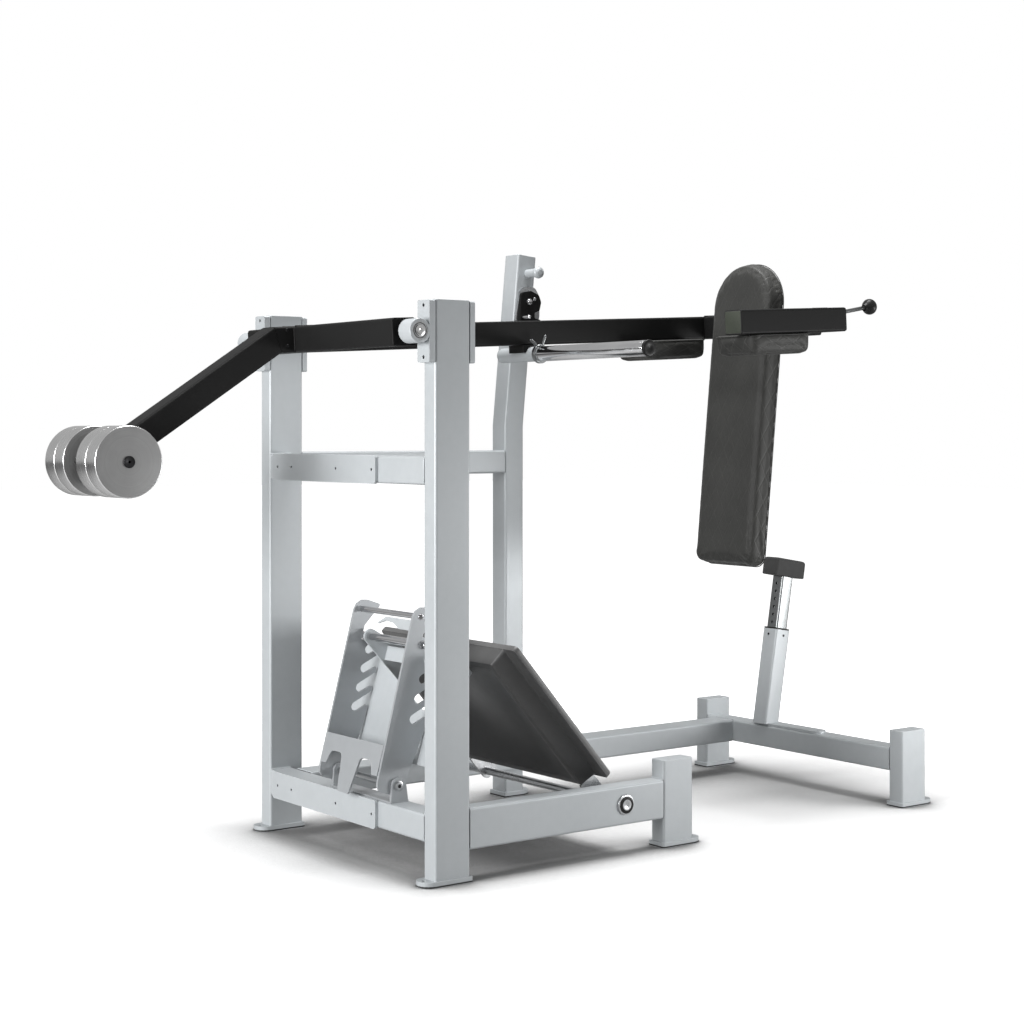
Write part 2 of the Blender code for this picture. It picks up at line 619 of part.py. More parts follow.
def plate_horn(arm):
    """The plate-loading horn under the main beam, its saddle, and the arm's catch pin."""
    r = HORN_RADIUS
    near, far = HORN_NEAR_Y, HORN_FAR_Y
    profile = [(r - 0.007, near - 0.003), (r - 0.002, near), (r, near + 0.002), (r, far - 0.008),
               (r * 0.9, far - 0.003), (r * 0.6, far)]
    bm = turned(profile, (HORN_X, 0, HORN_Z), (0, 1, 0))
    horn = piece("plate_horn", bm, chrome(), arm)
    cut_hole(horn, r - 0.004, (HORN_X, near + 0.010, HORN_Z), (HORN_X, far - 0.012, HORN_Z), arm)
    vent = guide("plate_horn_vent", rod(0.004, (HORN_X, far - 0.02, HORN_Z), (HORN_X, far + 0.01, HORN_Z), 12), arm)
    combine(horn, vent, "DIFFERENCE")
    top = -BEAM_HEIGHT / 2 - GAP - HORN_Z
    seat = r + GAP
    turns = [math.radians(165 - 15 * step) for step in range(11)]
    arc = [(seat * math.cos(turn), seat * math.sin(turn)) for turn in turns]
    outline = [(0.036, 0.006), (0.036, top), (-0.036, top), (-0.036, 0.006)] + arc
    bm = plate(outline, [], (HORN_X, BEAM_Y + BEAM_WIDTH / 2, HORN_Z), (1, 0, 0), (0, 0, 1), BEAM_WIDTH)
    piece("horn_saddle", bm, black_paint(), arm)
    x, z = LATCH_PIN_AT
    start = BEAM_Y + BEAM_WIDTH / 2 + GAP
    pin = [(0.018, 0), (0.018, 0.138), (0.016, 0.140), (0.010, 0.140), (0.010, 0.219), (0.008, 0.221)]
    piece("arm_catch_pin", turned(pin, (x, start, z), (0, 1, 0)), zinc(), arm)


def release_handle(arm):
    """The pull rod that leaves the near beam's front end, with its knob."""
    joint = empty("release_pull", (NEAR_BEAM_FRONT, NEAR_BEAM_Y, RELEASE_Z), -math.radians(6.9), arm)
    profile = [(0.006, -0.080), (0.007, -0.079), (0.007, 0.132), (0.013, 0.135), (0.023, 0.144), (0.0262, 0.156),
               (0.025, 0.167), (0.0185, 0.176), (0.0088, 0.180)]
    piece("release_handle", turned(profile, (0, 0, 0), (1, 0, 0)), black_plastic(), joint)


def spring_clip(arm):
    """The clip on the plate horn: a ring with two grips and a thumb lever."""
    joint = empty("clip_slide", (HORN_X, 0.082, HORN_Z), 0, arm)
    inner = HORN_RADIUS + 0.0004
    ring = [(inner, -0.007), (inner + 0.005, -0.007), (inner + 0.006, -0.005), (inner + 0.006, 0.005),
            (inner + 0.005, 0.007), (inner, 0.007)]
    clip = piece("spring_clip", turned(ring, (0, 0, 0), (0, 1, 0), bored=True), zinc(), joint)
    foot = inner + 0.003
    for index, y in enumerate((-0.004, 0.004)):
        grip = guide(f"clip_grip_{index}", rod(0.0035, (-foot * 0.5, y, foot * 0.87), (-0.034, y, 0.046), 8, 0.0005), joint)
        combine(clip, grip, "UNION")
    lever = guide("clip_lever", rod(0.005, (foot * 0.34, 0, foot * 0.94), (0.024, -0.004, 0.064), 12), joint)
    combine(clip, lever, "UNION")
    return joint


def footplate(frame):
    """The tilting tray: a hollow tread box that overhangs a shallow pan, its hinge and its bracket."""
    joint = empty("footplate_hinge", (HINGE_X, 0, HINGE_Z), FOOTPLATE_TILT, frame)
    under, step, tread, sheet = TRAY_UNDER_Z, TRAY_STEP_Z, TRAY_TREAD_Z, TRAY_SHEET

    def box(levels):
        rings = []
        for rear, front, side, z, radius in levels:
            x0, x1 = TRAY_TOP_X + rear, TRAY_BOTTOM_X - front
            y0, y1 = TRAY_NEAR_Y + side, TRAY_FAR_Y - side
            outline = rounded([(x0, y0, radius), (x1, y0, radius), (x1, y1, radius), (x0, y1, radius)], 2)
            rings.append(section(outline, (0, 0, z), (1, 0, 0), (0, 1, 0)))
        return loft(rings)

    outside = [(0.0125, 0.0190, 0.0640, under, 0.006), (0.0100, 0.0160, 0.0615, under + 0.003, 0.008),
               (0.0020, 0.0085, 0.0515, step, 0.010), (0.001, 0.001, 0.001, step, 0.011), (0, 0, 0, step + 0.001, 0.012),
               (0, 0, 0, tread - 0.003, 0.012), (0.003, 0.003, 0.003, tread, 0.010)]
    inside = [(0.0135, 0.0200, 0.0655, under + sheet, 0.004), (0.0055, 0.0120, 0.0550, step + sheet, 0.006),
              (sheet, sheet, sheet, step + sheet, 0.008), (sheet, sheet, sheet, tread - sheet, 0.008)]
    tray = piece("footplate_tray", box(outside), black_paint(), joint)
    combine(tray, guide("tray_inside", box(inside), joint), "DIFFERENCE")
    drain = (TRAY_BOTTOM_X - 0.060, (TRAY_NEAR_Y + TRAY_FAR_Y) / 2)
    cut_hole(tray, 0.005, (*drain, under - 0.010), (*drain, under + 0.010), joint, 12)
    footplate_hinge(joint)
    footplate_bracket(joint)


def footplate_hinge(joint):
    """The hinge shaft across the machine with two lugs welded to it."""
    near, far = -HALF_WIDTH - 0.004, FAR_RAIL_NEAR_Y + 0.012
    shaft = piece("footplate_shaft", rod(SHAFT_RADIUS, (0, near, 0), (0, far, 0)), zinc(), joint)
    top = TRAY_STEP_Z - GAP
    corners = [(0.024, -0.022, 0.018), (0.024, top, 0.014), (-0.0700, top, 0), (-0.0775, -0.022, 0)]
    for index, y in enumerate((TRAY_NEAR_Y + 0.075, TRAY_FAR_Y - 0.070)):
        lug = plate(rounded(corners), [], (0, y, 0), (1, 0, 0), (0, 0, 1), 0.008)
        combine(shaft, guide(f"footplate_lug_{index}", lug, joint), "UNION")


def footplate_point(x, z):
    """A point of the machine's upright plane in the footplate's own frame."""
    dx, dz = x - HINGE_X, z - HINGE_Z
    cos, sin = math.cos(FOOTPLATE_TILT), math.sin(FOOTPLATE_TILT)
    return dx * cos - dz * sin, dx * sin + dz * cos


def ladder_point(x, z):
    """A point of the ladder's own frame in the footplate's frame."""
    cos, sin = math.cos(LADDER_LEAN), math.sin(LADDER_LEAN)
    return footplate_point(LADDER_X + x * cos + z * sin, LADDER_Z - x * sin + z * cos)


def footplate_bracket(joint):
    """Two gussets under the tray's head, the wide windowed sheet in front of them, and the support bar."""
    bar_x, bar_z = ladder_point(*BAR_AT)
    under, thick, aside = TRAY_UNDER_Z - GAP, 0.008, 0.016
    corners = [(bar_x - 0.0215, bar_z - 0.0195, 0.018), (bar_x - 0.0185, bar_z + 0.019, 0.016), (TRAY_TOP_X + 0.018, under, 0),
               (TRAY_TOP_X + 0.064, under, 0), (*ladder_point(0.085, 0.075), 0.008), (*ladder_point(0.056, 0.070), 0.002),
               (*ladder_point(0.056, 0.345), 0.015)]
    hole = circle(bar_x, bar_z, BAR_RADIUS + GAP, 24)
    near = LADDER_NEAR_Y + LADDER_PLATE + aside
    far = LADDER_FAR_Y - LADDER_PLATE - aside
    bm = plate(rounded(corners), [hole], (0, near + thick, 0), (1, 0, 0), (0, 0, 1), thick)
    bracket = piece("footplate_bracket", bm, silver_paint(), joint)
    bm = plate(rounded(corners), [hole], (0, far, 0), (1, 0, 0), (0, 0, 1), thick)
    combine(bracket, guide("far_gusset", bm, joint), "UNION")
    x, z = ladder_point(0.054, (SHEET_LOW + SHEET_TOP) / 2)
    below = ladder_point(0.054, SHEET_LOW)
    down = Vector((below[0] - x, 0, below[1] - z)).normalized()
    window = rounded([(-0.121, 0.1655, 0.006), (-0.121, -0.1665, 0.006), (0.025, -0.1665, 0.006)], 3)
    outline = rectangle(SHEET_TOP - SHEET_LOW, SHEET_WIDTH, 0.006)
    bm = plate(outline, [window], (x, SHEET_Y, z), down, (0, 1, 0), 0.004)
    combine(bracket, guide("footplate_sheet", bm, joint), "UNION")
    ends = (LADDER_NEAR_Y - 0.013, LADDER_FAR_Y + 0.013)
    bm = rod(BAR_RADIUS, (bar_x, ends[0], bar_z), (bar_x, ends[1], bar_z))
    piece("support_bar", bm, chrome(), joint)


def hinge_bushing(frame):
    """The flanged bushing of the footplate's shaft in the near rail."""
    inside, flange, face = SHAFT_RADIUS + GAP, 0.031, -HALF_WIDTH
    profile = [(inside, face - 0.006), (flange - 0.002, face - 0.006), (flange, face - 0.004), (flange, face - GAP),
               (BUSHING_RADIUS, face - GAP), (BUSHING_RADIUS, face + UPRIGHT_WIDTH), (inside, face + UPRIGHT_WIDTH)]
    bm = turned(profile, (HINGE_X, 0, HINGE_Z), (0, 1, 0), bored=True)
    piece("hinge_bushing", bm, zinc(), frame)


def ladder_outline():
    """A side plate's outline: round foot, forward-opening slots, a top notch, straight rear edge."""
    front, tip = 0.048, 0.005
    cos, sin = math.cos(SLOT_ANGLE), math.sin(SLOT_ANGLE)
    corners = [(0.030 * math.cos(turn), 0.030 * math.sin(turn), 0)
               for turn in (math.radians(-90 + 15 * step) for step in range(6))]
    corners += [(0.034, 0.060, 0.020), (front, 0.150, 0.020)]
    for index in range(SLOT_COUNT):
        z = LOWEST_SLOT_Z + index * SLOT_PITCH
        topmost = index == SLOT_COUNT - 1
        lower_x, lower_z = SLOT_END_X + sin * SLOT_HALF, z - cos * SLOT_HALF
        corners.append((front, lower_z + (front - lower_x) * sin / cos, tip))
        sweep = math.pi + (math.pi / 2 - SLOT_ANGLE if topmost else 0)
        turns = [SLOT_ANGLE - math.pi / 2 - sweep * step / 6 for step in range(7)]
        corners += [(SLOT_END_X + SLOT_HALF * math.cos(turn), z + SLOT_HALF * math.sin(turn), 0) for turn in turns]
        upper_x, upper_z = SLOT_END_X - sin * SLOT_HALF, z + cos * SLOT_HALF
        if not topmost:
            corners.append((front, upper_z + (front - upper_x) * sin / cos, tip))
    floor = math.hypot(*BAR_AT) - BAR_RADIUS - GAP
    top_slot = LOWEST_SLOT_Z + (SLOT_COUNT - 1) * SLOT_PITCH
    corners += [(front - 0.003, top_slot + SLOT_HALF, 0.003), (front - 0.003, floor - 0.0025, 0.003)]
    first, last = math.acos(0.038 / floor), math.acos(-0.0309 / floor)
    turns = [first + (last - first) * step / 6 for step in range(7)]
    corners += [(floor * math.cos(turn), floor * math.sin(turn), 0) for turn in turns]
    corners += [(-0.0309, 0.445, 0.008), (0.010, 0.520, 0.006), (-0.082, 0.524, 0.038), (-0.067, -0.030, 0.026)]
    return rounded(corners)


def ladder(frame):
    """The notched ladder that holds the footplate: two side plates and what joins them."""
    joint = empty("ladder_pivot", (LADDER_X, 0, LADDER_Z), LADDER_LEAN, frame)
    tie_x, tie_z, tie_radius = -0.054, 0.491, 0.009
    holes = [circle(0, 0, LADDER_BOLT + GAP, 24), circle(tie_x, tie_z, tie_radius + GAP, 24)]
    for name, y in (("near", LADDER_NEAR_Y + LADDER_PLATE), ("far", LADDER_FAR_Y)):
        bm = plate(ladder_outline(), holes, (0, y, 0), (1, 0, 0), (0, 0, 1), LADDER_PLATE)
        piece(f"{name}_ladder_plate", bm, grey_paint(), joint)
    near, far = LADDER_NEAR_Y + LADDER_PLATE + GAP, LADDER_FAR_Y - LADDER_PLATE - GAP
    middle, half = (near + far) / 2, (far - near) / 2
    side = [(-half, 0.104, 0), (-half, 0.014, 0), (-half + 0.030, 0.014, 0.006), (-half + 0.046, 0.054, 0.016),
            (-0.052, 0.054, 0.016), (-0.030, -0.058, 0.010)]
    corners = side + [(-x, z, radius) for x, z, radius in reversed(side)]
    bm = plate(rounded(corners), [], (-0.0715, middle, 0), (0, 1, 0), (0, 0, 1), 0.006)
    piece("ladder_cross_plate", bm, grey_paint(), joint)
    corners = [(near, 0.447, 0), (-0.137, 0.447, 0.010), (-0.105, 0.462, 0.020), (-0.060, 0.466, 0.020),
               (-0.003, 0.449, 0.002), (-0.058, 0.4785, 0.004), (near, 0.4785, 0)]
    bm = plate(rounded(corners), [], (-0.048, 0, 0), (0, 1, 0), (0, 0, 1), 0.005)
    piece("ladder_top_plate", bm, silver_paint(), joint)
    ends = (LADDER_NEAR_Y - 0.002, LADDER_FAR_Y + 0.002)
    bm = rod(tie_radius, (tie_x, ends[0], tie_z), (tie_x, ends[1], tie_z))
    piece("ladder_tie_rod", bm, chrome(), joint)


def ladder_mount(frame):
    """The folded bracket on the rear crossmember and the ladder's pivot bolt."""
    thick, play = 0.008, 0.001
    near_y, far_y = LADDER_NEAR_Y - play, LADDER_FAR_Y - LADDER_PLATE - play
    floor = LOWER_BEAM_Z + SQUARE / 2 + GAP
    low = floor - LADDER_Z + 0.001
    base_y, base_width = (near_y - thick + far_y) / 2, far_y - near_y + thick
    base = plate(rectangle(0.064, base_width, 0.002), [], (LADDER_X + 0.004, base_y, floor), (1, 0, 0), (0, 1, 0), 0.005)
    bracket = piece("ladder_bracket", base, silver_paint(), frame)
    corners = [(-0.026, low, 0.002), (0.034, low, 0.002), (0.024, 0.024, 0.020), (-0.020, 0.024, 0.020)]
    hole = circle(0, 0, LADDER_BOLT + GAP, 24)
    for index, y in enumerate((near_y, far_y)):
        ear = plate(rounded(corners), [hole], (LADDER_X, y, LADDER_Z), (1, 0, 0), (0, 0, 1), thick)
        combine(bracket, guide(f"ladder_ear_{index}", ear, frame), "UNION")
    start, end = near_y - thick - GAP, LADDER_FAR_Y + 0.003
    profile = [(0.011, start - 0.006), (0.0125, start - 0.005), (0.0125, start), (LADDER_BOLT, start), (LADDER_BOLT, end),
               (LADDER_BOLT - 0.002, end + 0.002)]
    piece("ladder_pivot_bolt", turned(profile, (LADDER_X, 0, LADDER_Z), (0, 1, 0)), zinc(), frame)


def stop_post(frame):
    """The leaning stop post: outer tube welded to its base plate, plunger barrel and guide sleeve."""
    foot_z = LOWER_BEAM_Z + 0.002 + SQUARE / 2 + GAP
    length, width, thick = 0.330, 0.060, 0.008
    axis = empty("stop_axis", (STOP_X, STOP_Y, foot_z + thick), STOP_LEAN, frame)
    low, slope, top = -0.003, math.tan(STOP_LEAN), STOP_OUTER_LENGTH
    side = Vector((0, 1, 0))
    path = [(Vector((0, 0, low)), Vector((1, 0, slope)), side), (Vector((0, 0, top)), Vector((1, 0, 0)), side)]
    outer = tube("stop_outer_tube", path, STOP_OUTER, STOP_OUTER, FRAME_WALL, silver_paint(), axis)
    corners = [(-width / 2, -length / 2, 0.026), (width / 2, -length / 2, 0.026), (width / 2, length / 2, 0.006),
               (-width / 2, length / 2, 0.006)]
    hole = circle(0, -length / 2 + 0.028, 0.0055, 12)
    centre = (STOP_X + 0.010, STOP_Y + 0.050 - length / 2, foot_z)
    bm = plate(rounded(corners, 5), [hole], centre, (1, 0, 0), (0, 1, 0), thick)
    combine(outer, guide("stop_base_plate", bm, frame), "UNION")
    face = STOP_OUTER / 2
    profile = [(0.0085, -0.002), (0.0085, 0.0035), (0.0078, 0.0042)]
    barrel = guide("plunger_barrel", turned(profile, (face, 0, STOP_PIN_Z), (1, 0, 0)), axis)
    combine(outer, barrel, "UNION")
    cut_hole(outer, 0.0053, (face - 0.012, 0, STOP_PIN_Z), (face + 0.030, 0, STOP_PIN_Z), axis)
    inside, clear, rim = STOP_OUTER / 2 - FRAME_WALL - GAP, STOP_INNER / 2 + GAP, STOP_OUTER / 2 - 0.001
    levels = [(clear, -0.036), (inside, -0.036), (inside, GAP), (rim, GAP), (rim, 0.005), (clear, 0.006)]
    rings = [section(rectangle(2 * half, 2 * half, 0.005), (0, 0, top + z), (1, 0, 0), (0, 1, 0)) for half, z in levels]
    piece("stop_guide_sleeve", loft(rings, closed=True), black_plastic(), axis)
    return axis


def stop_head(axis):
    """The sliding inner tube with its row of holes, and the bumper block."""
    joint = empty("stop_slide", (0, 0, 0), 0, axis)
    path = run((0, 0, STOP_INNER_FOOT), (0, 0, STOP_INNER_TOP), (1, 0, 0), (0, 1, 0))
    inner = tube("stop_inner_tube", path, STOP_INNER, STOP_INNER, FRAME_WALL, zinc(), joint)
    reach = STOP_INNER / 2 + 0.01
    for step in range(-2, 9):
        z = STOP_PIN_Z + step * STOP_HOLE_PITCH
        cut_hole(inner, 0.0058, (-reach, 0, z), (reach, 0, z), joint, 8)
    length, width, height = 0.150, 0.078, 0.065
    base = STOP_INNER_TOP + GAP
    levels = [(0.003, 0), (0, 0.003), (0, height - 0.010), (0.003, height - 0.003), (0.010, height)]
    rings = [section(rectangle(length - 2 * shrink, width - 2 * shrink, 0.010 - shrink / 2), (0, 0, base + z),
                     (1, 0, 0), (0, 1, 0)) for shrink, z in levels]
    piece("bumper_block", loft(rings), rubber(), joint)


def stop_plunger(axis):
    """The pull pin that enters the inner tube's holes, drawn out at rest."""
    joint = empty("stop_plunger_slide", (STOP_OUTER / 2, 0, STOP_PIN_Z), 0, axis)
    tip = STOP_INNER / 2 - STOP_OUTER / 2 + 0.001
    profile = [(0.004, tip), (0.005, tip + 0.001), (0.005, 0.0135), (0.0075, 0.0137), (0.0082, 0.0145), (0.0082, 0.0170),
               (0.0070, 0.0178)]
    piece("stop_plunger", turned(profile, (0, 0, 0), (1, 0, 0)), black_plastic(), joint)


def latch(frame):
    """The hook that swings under the arm's catch pin, and the grip that is pressed into it."""
    face = HALF_WIDTH - UPRIGHT_WIDTH - CATCH_PLATE - 2 * GAP
    joint = empty("latch_pivot", (LATCH_X, face, LATCH_Z), 0, frame)
    pin_x = LATCH_PIN_AT[0] * math.cos(ARM_RISE) - LATCH_PIN_AT[1] * math.sin(ARM_RISE) - LATCH_X
    pin_z = PIVOT_Z + LATCH_PIN_AT[0] * math.sin(ARM_RISE) + LATCH_PIN_AT[1] * math.cos(ARM_RISE) - LATCH_Z
    reach = math.hypot(pin_x, pin_z)

    def arc(radius, first, last):
        start, end = math.acos(first / radius), math.acos(last / radius)
        turns = [start + (end - start) * step / 5 for step in range(6)]
        return [(radius * math.cos(turn), -radius * math.sin(turn), 0) for turn in turns]

    head = [(-0.034, 0.030, 0.016), (0.010, 0.038, 0.014), (0.045, 0.025, 0.014), (0.055, 0, 0.012), (0.048, -0.030, 0.010),
            (0.026, -0.038, 0.006), (0.026, -0.058, 0.006), (0.052, -0.062, 0.006)]
    jaw = arc(reach - 0.0106, 0.052, 0.005) + arc(reach + 0.0106, 0.005, 0.033)
    tail = [(0.036, -0.125, 0.006), (0.028, -0.142, 0.010), (-0.008, -0.146, 0.010), (-0.031, -0.118, 0.012),
            (-0.038, -0.060, 0.010)]
    outline = rounded((head + jaw + tail)[::-1])
    hole = circle(0, 0, 0.006 + GAP, 24)
    bm = plate(outline, [hole], (0, 0, 0), (1, 0, 0), (0, 0, 1), LATCH_THICK)
    piece("latch_hook", bm, black_paint(), joint)
    grip = [(0.007, LATCH_THICK + GAP), (0.007, 0.046), (0.0065, 0.050), (0.004, 0.0525)]
    piece("latch_grip", turned(grip, (-0.026, 0, -0.056), (0, -1, 0), 20), chrome(), joint)


def centre_on_footprint(machine):
    """Moves the machine so that its footprint's box is centred and its lowest point is at z = 0."""
    bpy.context.view_layer.update()
    depsgraph = bpy.context.evaluated_depsgraph_get()
    low = Vector((math.inf,) * 3)
    high = Vector((-math.inf,) * 3)
    for obj in PIECES:
        shown = obj.evaluated_get(depsgraph)
        for vert in shown.data.vertices:
            point = shown.matrix_world @ vert.co
            low = Vector(map(min, low, point))
            high = Vector(map(max, high, point))
    machine.location = (-(low.x + high.x) / 2, -(low.y + high.y) / 2, -low.z)
    bpy.context.view_layer.update()


def main():
    for obj in list(bpy.data.objects):
        bpy.data.objects.remove(obj, do_unlink=True)
    machine = empty("machine", (0, 0, 0), 0, None)
    frame_posts(machine)
    frame_beams(machine)
    joint_plates(machine)
    catch_post(machine)
    bearings(machine)
    arm = empty("arm_pivot", (0, 0, PIVOT_Z), -ARM_RISE, machine)
    arm_beams(arm)
    counterweights(arm)
    shoulder_pads(arm)
    back_pad(arm)
    plate_horn(arm)
    release_handle(arm)
    spring_clip(arm)
    hinge_bushing(machine)
    footplate(machine)
    ladder(machine)
    ladder_mount(machine)
    axis = stop_post(machine)
    stop_head(axis)
    stop_plunger(axis)
    latch(machine)
    centre_on_footprint(machine)
    for joint in [obj for obj in bpy.data.objects if obj.type == "EMPTY"]:
        place = joint.matrix_world.translation
        print(f"{joint.name}: {place.x:.5f} {place.y:.5f} {place.z:.5f}")
    print(f"{len(PIECES)} pieces")


main()
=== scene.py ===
"""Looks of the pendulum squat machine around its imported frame.

Metres, +Z up, in the row frame. Near is -Y, far is +Y, rear is -X with the
counterweights, and front is +X with the stop post.
"""

import json
import logging
import math
from collections.abc import Callable, Iterable, Sequence
from dataclasses import dataclass
from enum import Enum

import bmesh
import bpy
from mathutils import Matrix, Vector

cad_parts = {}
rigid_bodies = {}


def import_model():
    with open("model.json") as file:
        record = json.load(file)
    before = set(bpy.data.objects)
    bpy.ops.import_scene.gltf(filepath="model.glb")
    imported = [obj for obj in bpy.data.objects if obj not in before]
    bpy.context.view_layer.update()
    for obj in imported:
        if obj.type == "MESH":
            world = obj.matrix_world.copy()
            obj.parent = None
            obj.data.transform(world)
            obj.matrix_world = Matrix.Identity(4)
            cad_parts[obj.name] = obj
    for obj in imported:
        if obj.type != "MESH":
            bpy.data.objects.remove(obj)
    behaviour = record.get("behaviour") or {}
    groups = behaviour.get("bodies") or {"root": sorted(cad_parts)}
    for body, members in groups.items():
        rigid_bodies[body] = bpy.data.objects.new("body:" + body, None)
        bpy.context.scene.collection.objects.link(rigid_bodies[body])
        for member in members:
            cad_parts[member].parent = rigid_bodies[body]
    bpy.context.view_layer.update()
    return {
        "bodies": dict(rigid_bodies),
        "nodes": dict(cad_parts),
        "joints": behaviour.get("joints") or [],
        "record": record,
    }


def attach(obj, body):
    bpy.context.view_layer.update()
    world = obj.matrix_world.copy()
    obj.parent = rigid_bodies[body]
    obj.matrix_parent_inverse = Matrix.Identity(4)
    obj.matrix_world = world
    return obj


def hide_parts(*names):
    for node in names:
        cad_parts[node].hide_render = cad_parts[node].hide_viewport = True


LOG = logging.getLogger("squat_machine")
X, Y, Z = Vector((1, 0, 0)), Vector((0, 1, 0)), Vector((0, 0, 1))
Colour = tuple[float, float, float]
Profile = Sequence[tuple[float, float]]

# Places that several pieces share, in the machine's frame, then in the arm's, and last along the lever.
PIVOT_HEIGHT = 1.560
POST_Y = 0.4685
HINGE_X, HINGE_Z = 0.745, 0.152
NEAR_BEAM_Y = -0.446
USER_Y = -0.137
HORN_X, HORN_Z = 0.8634, -0.0718
LEVER_REACH = 0.6584


class Body(Enum):
    """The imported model's bodies that pieces are added to."""

    FRAME = "frame"
    ARM = "arm"
    FOOTPLATE = "footplate"
    LATCH = "latch"
    RELEASE_HANDLE = "release_handle"
    SPRING_CLIP = "spring_clip"


class Slot(Enum):
    """The record's material slots."""

    SILVER_PAINT = "silver_paint"
    BLACK_PAINT = "black_paint"
    GREY_PAINT = "grey_paint"
    MACHINED_STEEL = "machined_steel"
    CHROME = "chrome"
    ZINC = "zinc"
    BLACK_PLASTIC = "black_plastic"
    RUBBER = "rubber"
    UPHOLSTERY = "upholstery"


class Place(Enum):
    """A part's own frame: its body, the frame it stands in, its origin there, and its turn about Y in degrees."""

    MACHINE = (Body.FRAME, None, (-0.74147, -0.0006, 0.0), 0.0)
    ARM = (Body.ARM, "MACHINE", (0.0, 0.0, PIVOT_HEIGHT), -3.1)
    LEVER = (Body.ARM, "ARM", (-0.097, 0.165, 0.0), -30.22)
    PAD = (Body.ARM, "ARM", (1.43187, USER_Y, -0.81213), 8.84)
    ROD = (Body.RELEASE_HANDLE, "ARM", (1.719, NEAR_BEAM_Y, 0.022), -6.9)
    CLIP = (Body.SPRING_CLIP, "ARM", (HORN_X, 0.082, HORN_Z), 0.0)
    FOOTPLATE = (Body.FOOTPLATE, "MACHINE", (HINGE_X, 0.0, HINGE_Z), 48.95)
    STOP = (Body.FRAME, "MACHINE", (1.979, 0.165, 0.2073), 9.5)
    LATCH = (Body.LATCH, "MACHINE", (1.075, 0.4299, 1.735), 0.0)

    @property
    def body(self) -> Body:
        """The body that the frame moves with."""
        return self.value[0]

    @property
    def matrix(self) -> Matrix:
        """The frame's matrix in the row frame."""
        _, parent, origin, tilt = self.value
        own = Matrix.Translation(origin) @ Matrix.Rotation(math.radians(tilt), 4, "Y")
        return Place[parent].matrix @ own if parent else own


class Wire:
    """A number that varies over a surface and takes part in Python arithmetic."""

    def __init__(self, graph: "Graph", socket: bpy.types.NodeSocket) -> None:
        """Wraps an output socket.

        Args:
            graph: The node tree that the socket is in.
            socket: A node's output with one number.
        """
        self.graph = graph
        self.socket = socket

    def __add__(self, other: "Wire | float") -> "Wire":
        """The sum."""
        return self.graph.math("ADD", self, other)

    def __sub__(self, other: "Wire | float") -> "Wire":
        """The difference."""
        return self.graph.math("SUBTRACT", self, other)

    def __rsub__(self, other: float) -> "Wire":
        """The difference from a number."""
        return self.graph.math("SUBTRACT", other, self)

    def __mul__(self, other: "Wire | float") -> "Wire":
        """The product."""
        return self.graph.math("MULTIPLY", self, other)

    def __abs__(self) -> "Wire":
        """The size without its sign."""
        return self.graph.math("ABSOLUTE", self)

    __radd__ = __add__
    __rmul__ = __mul__


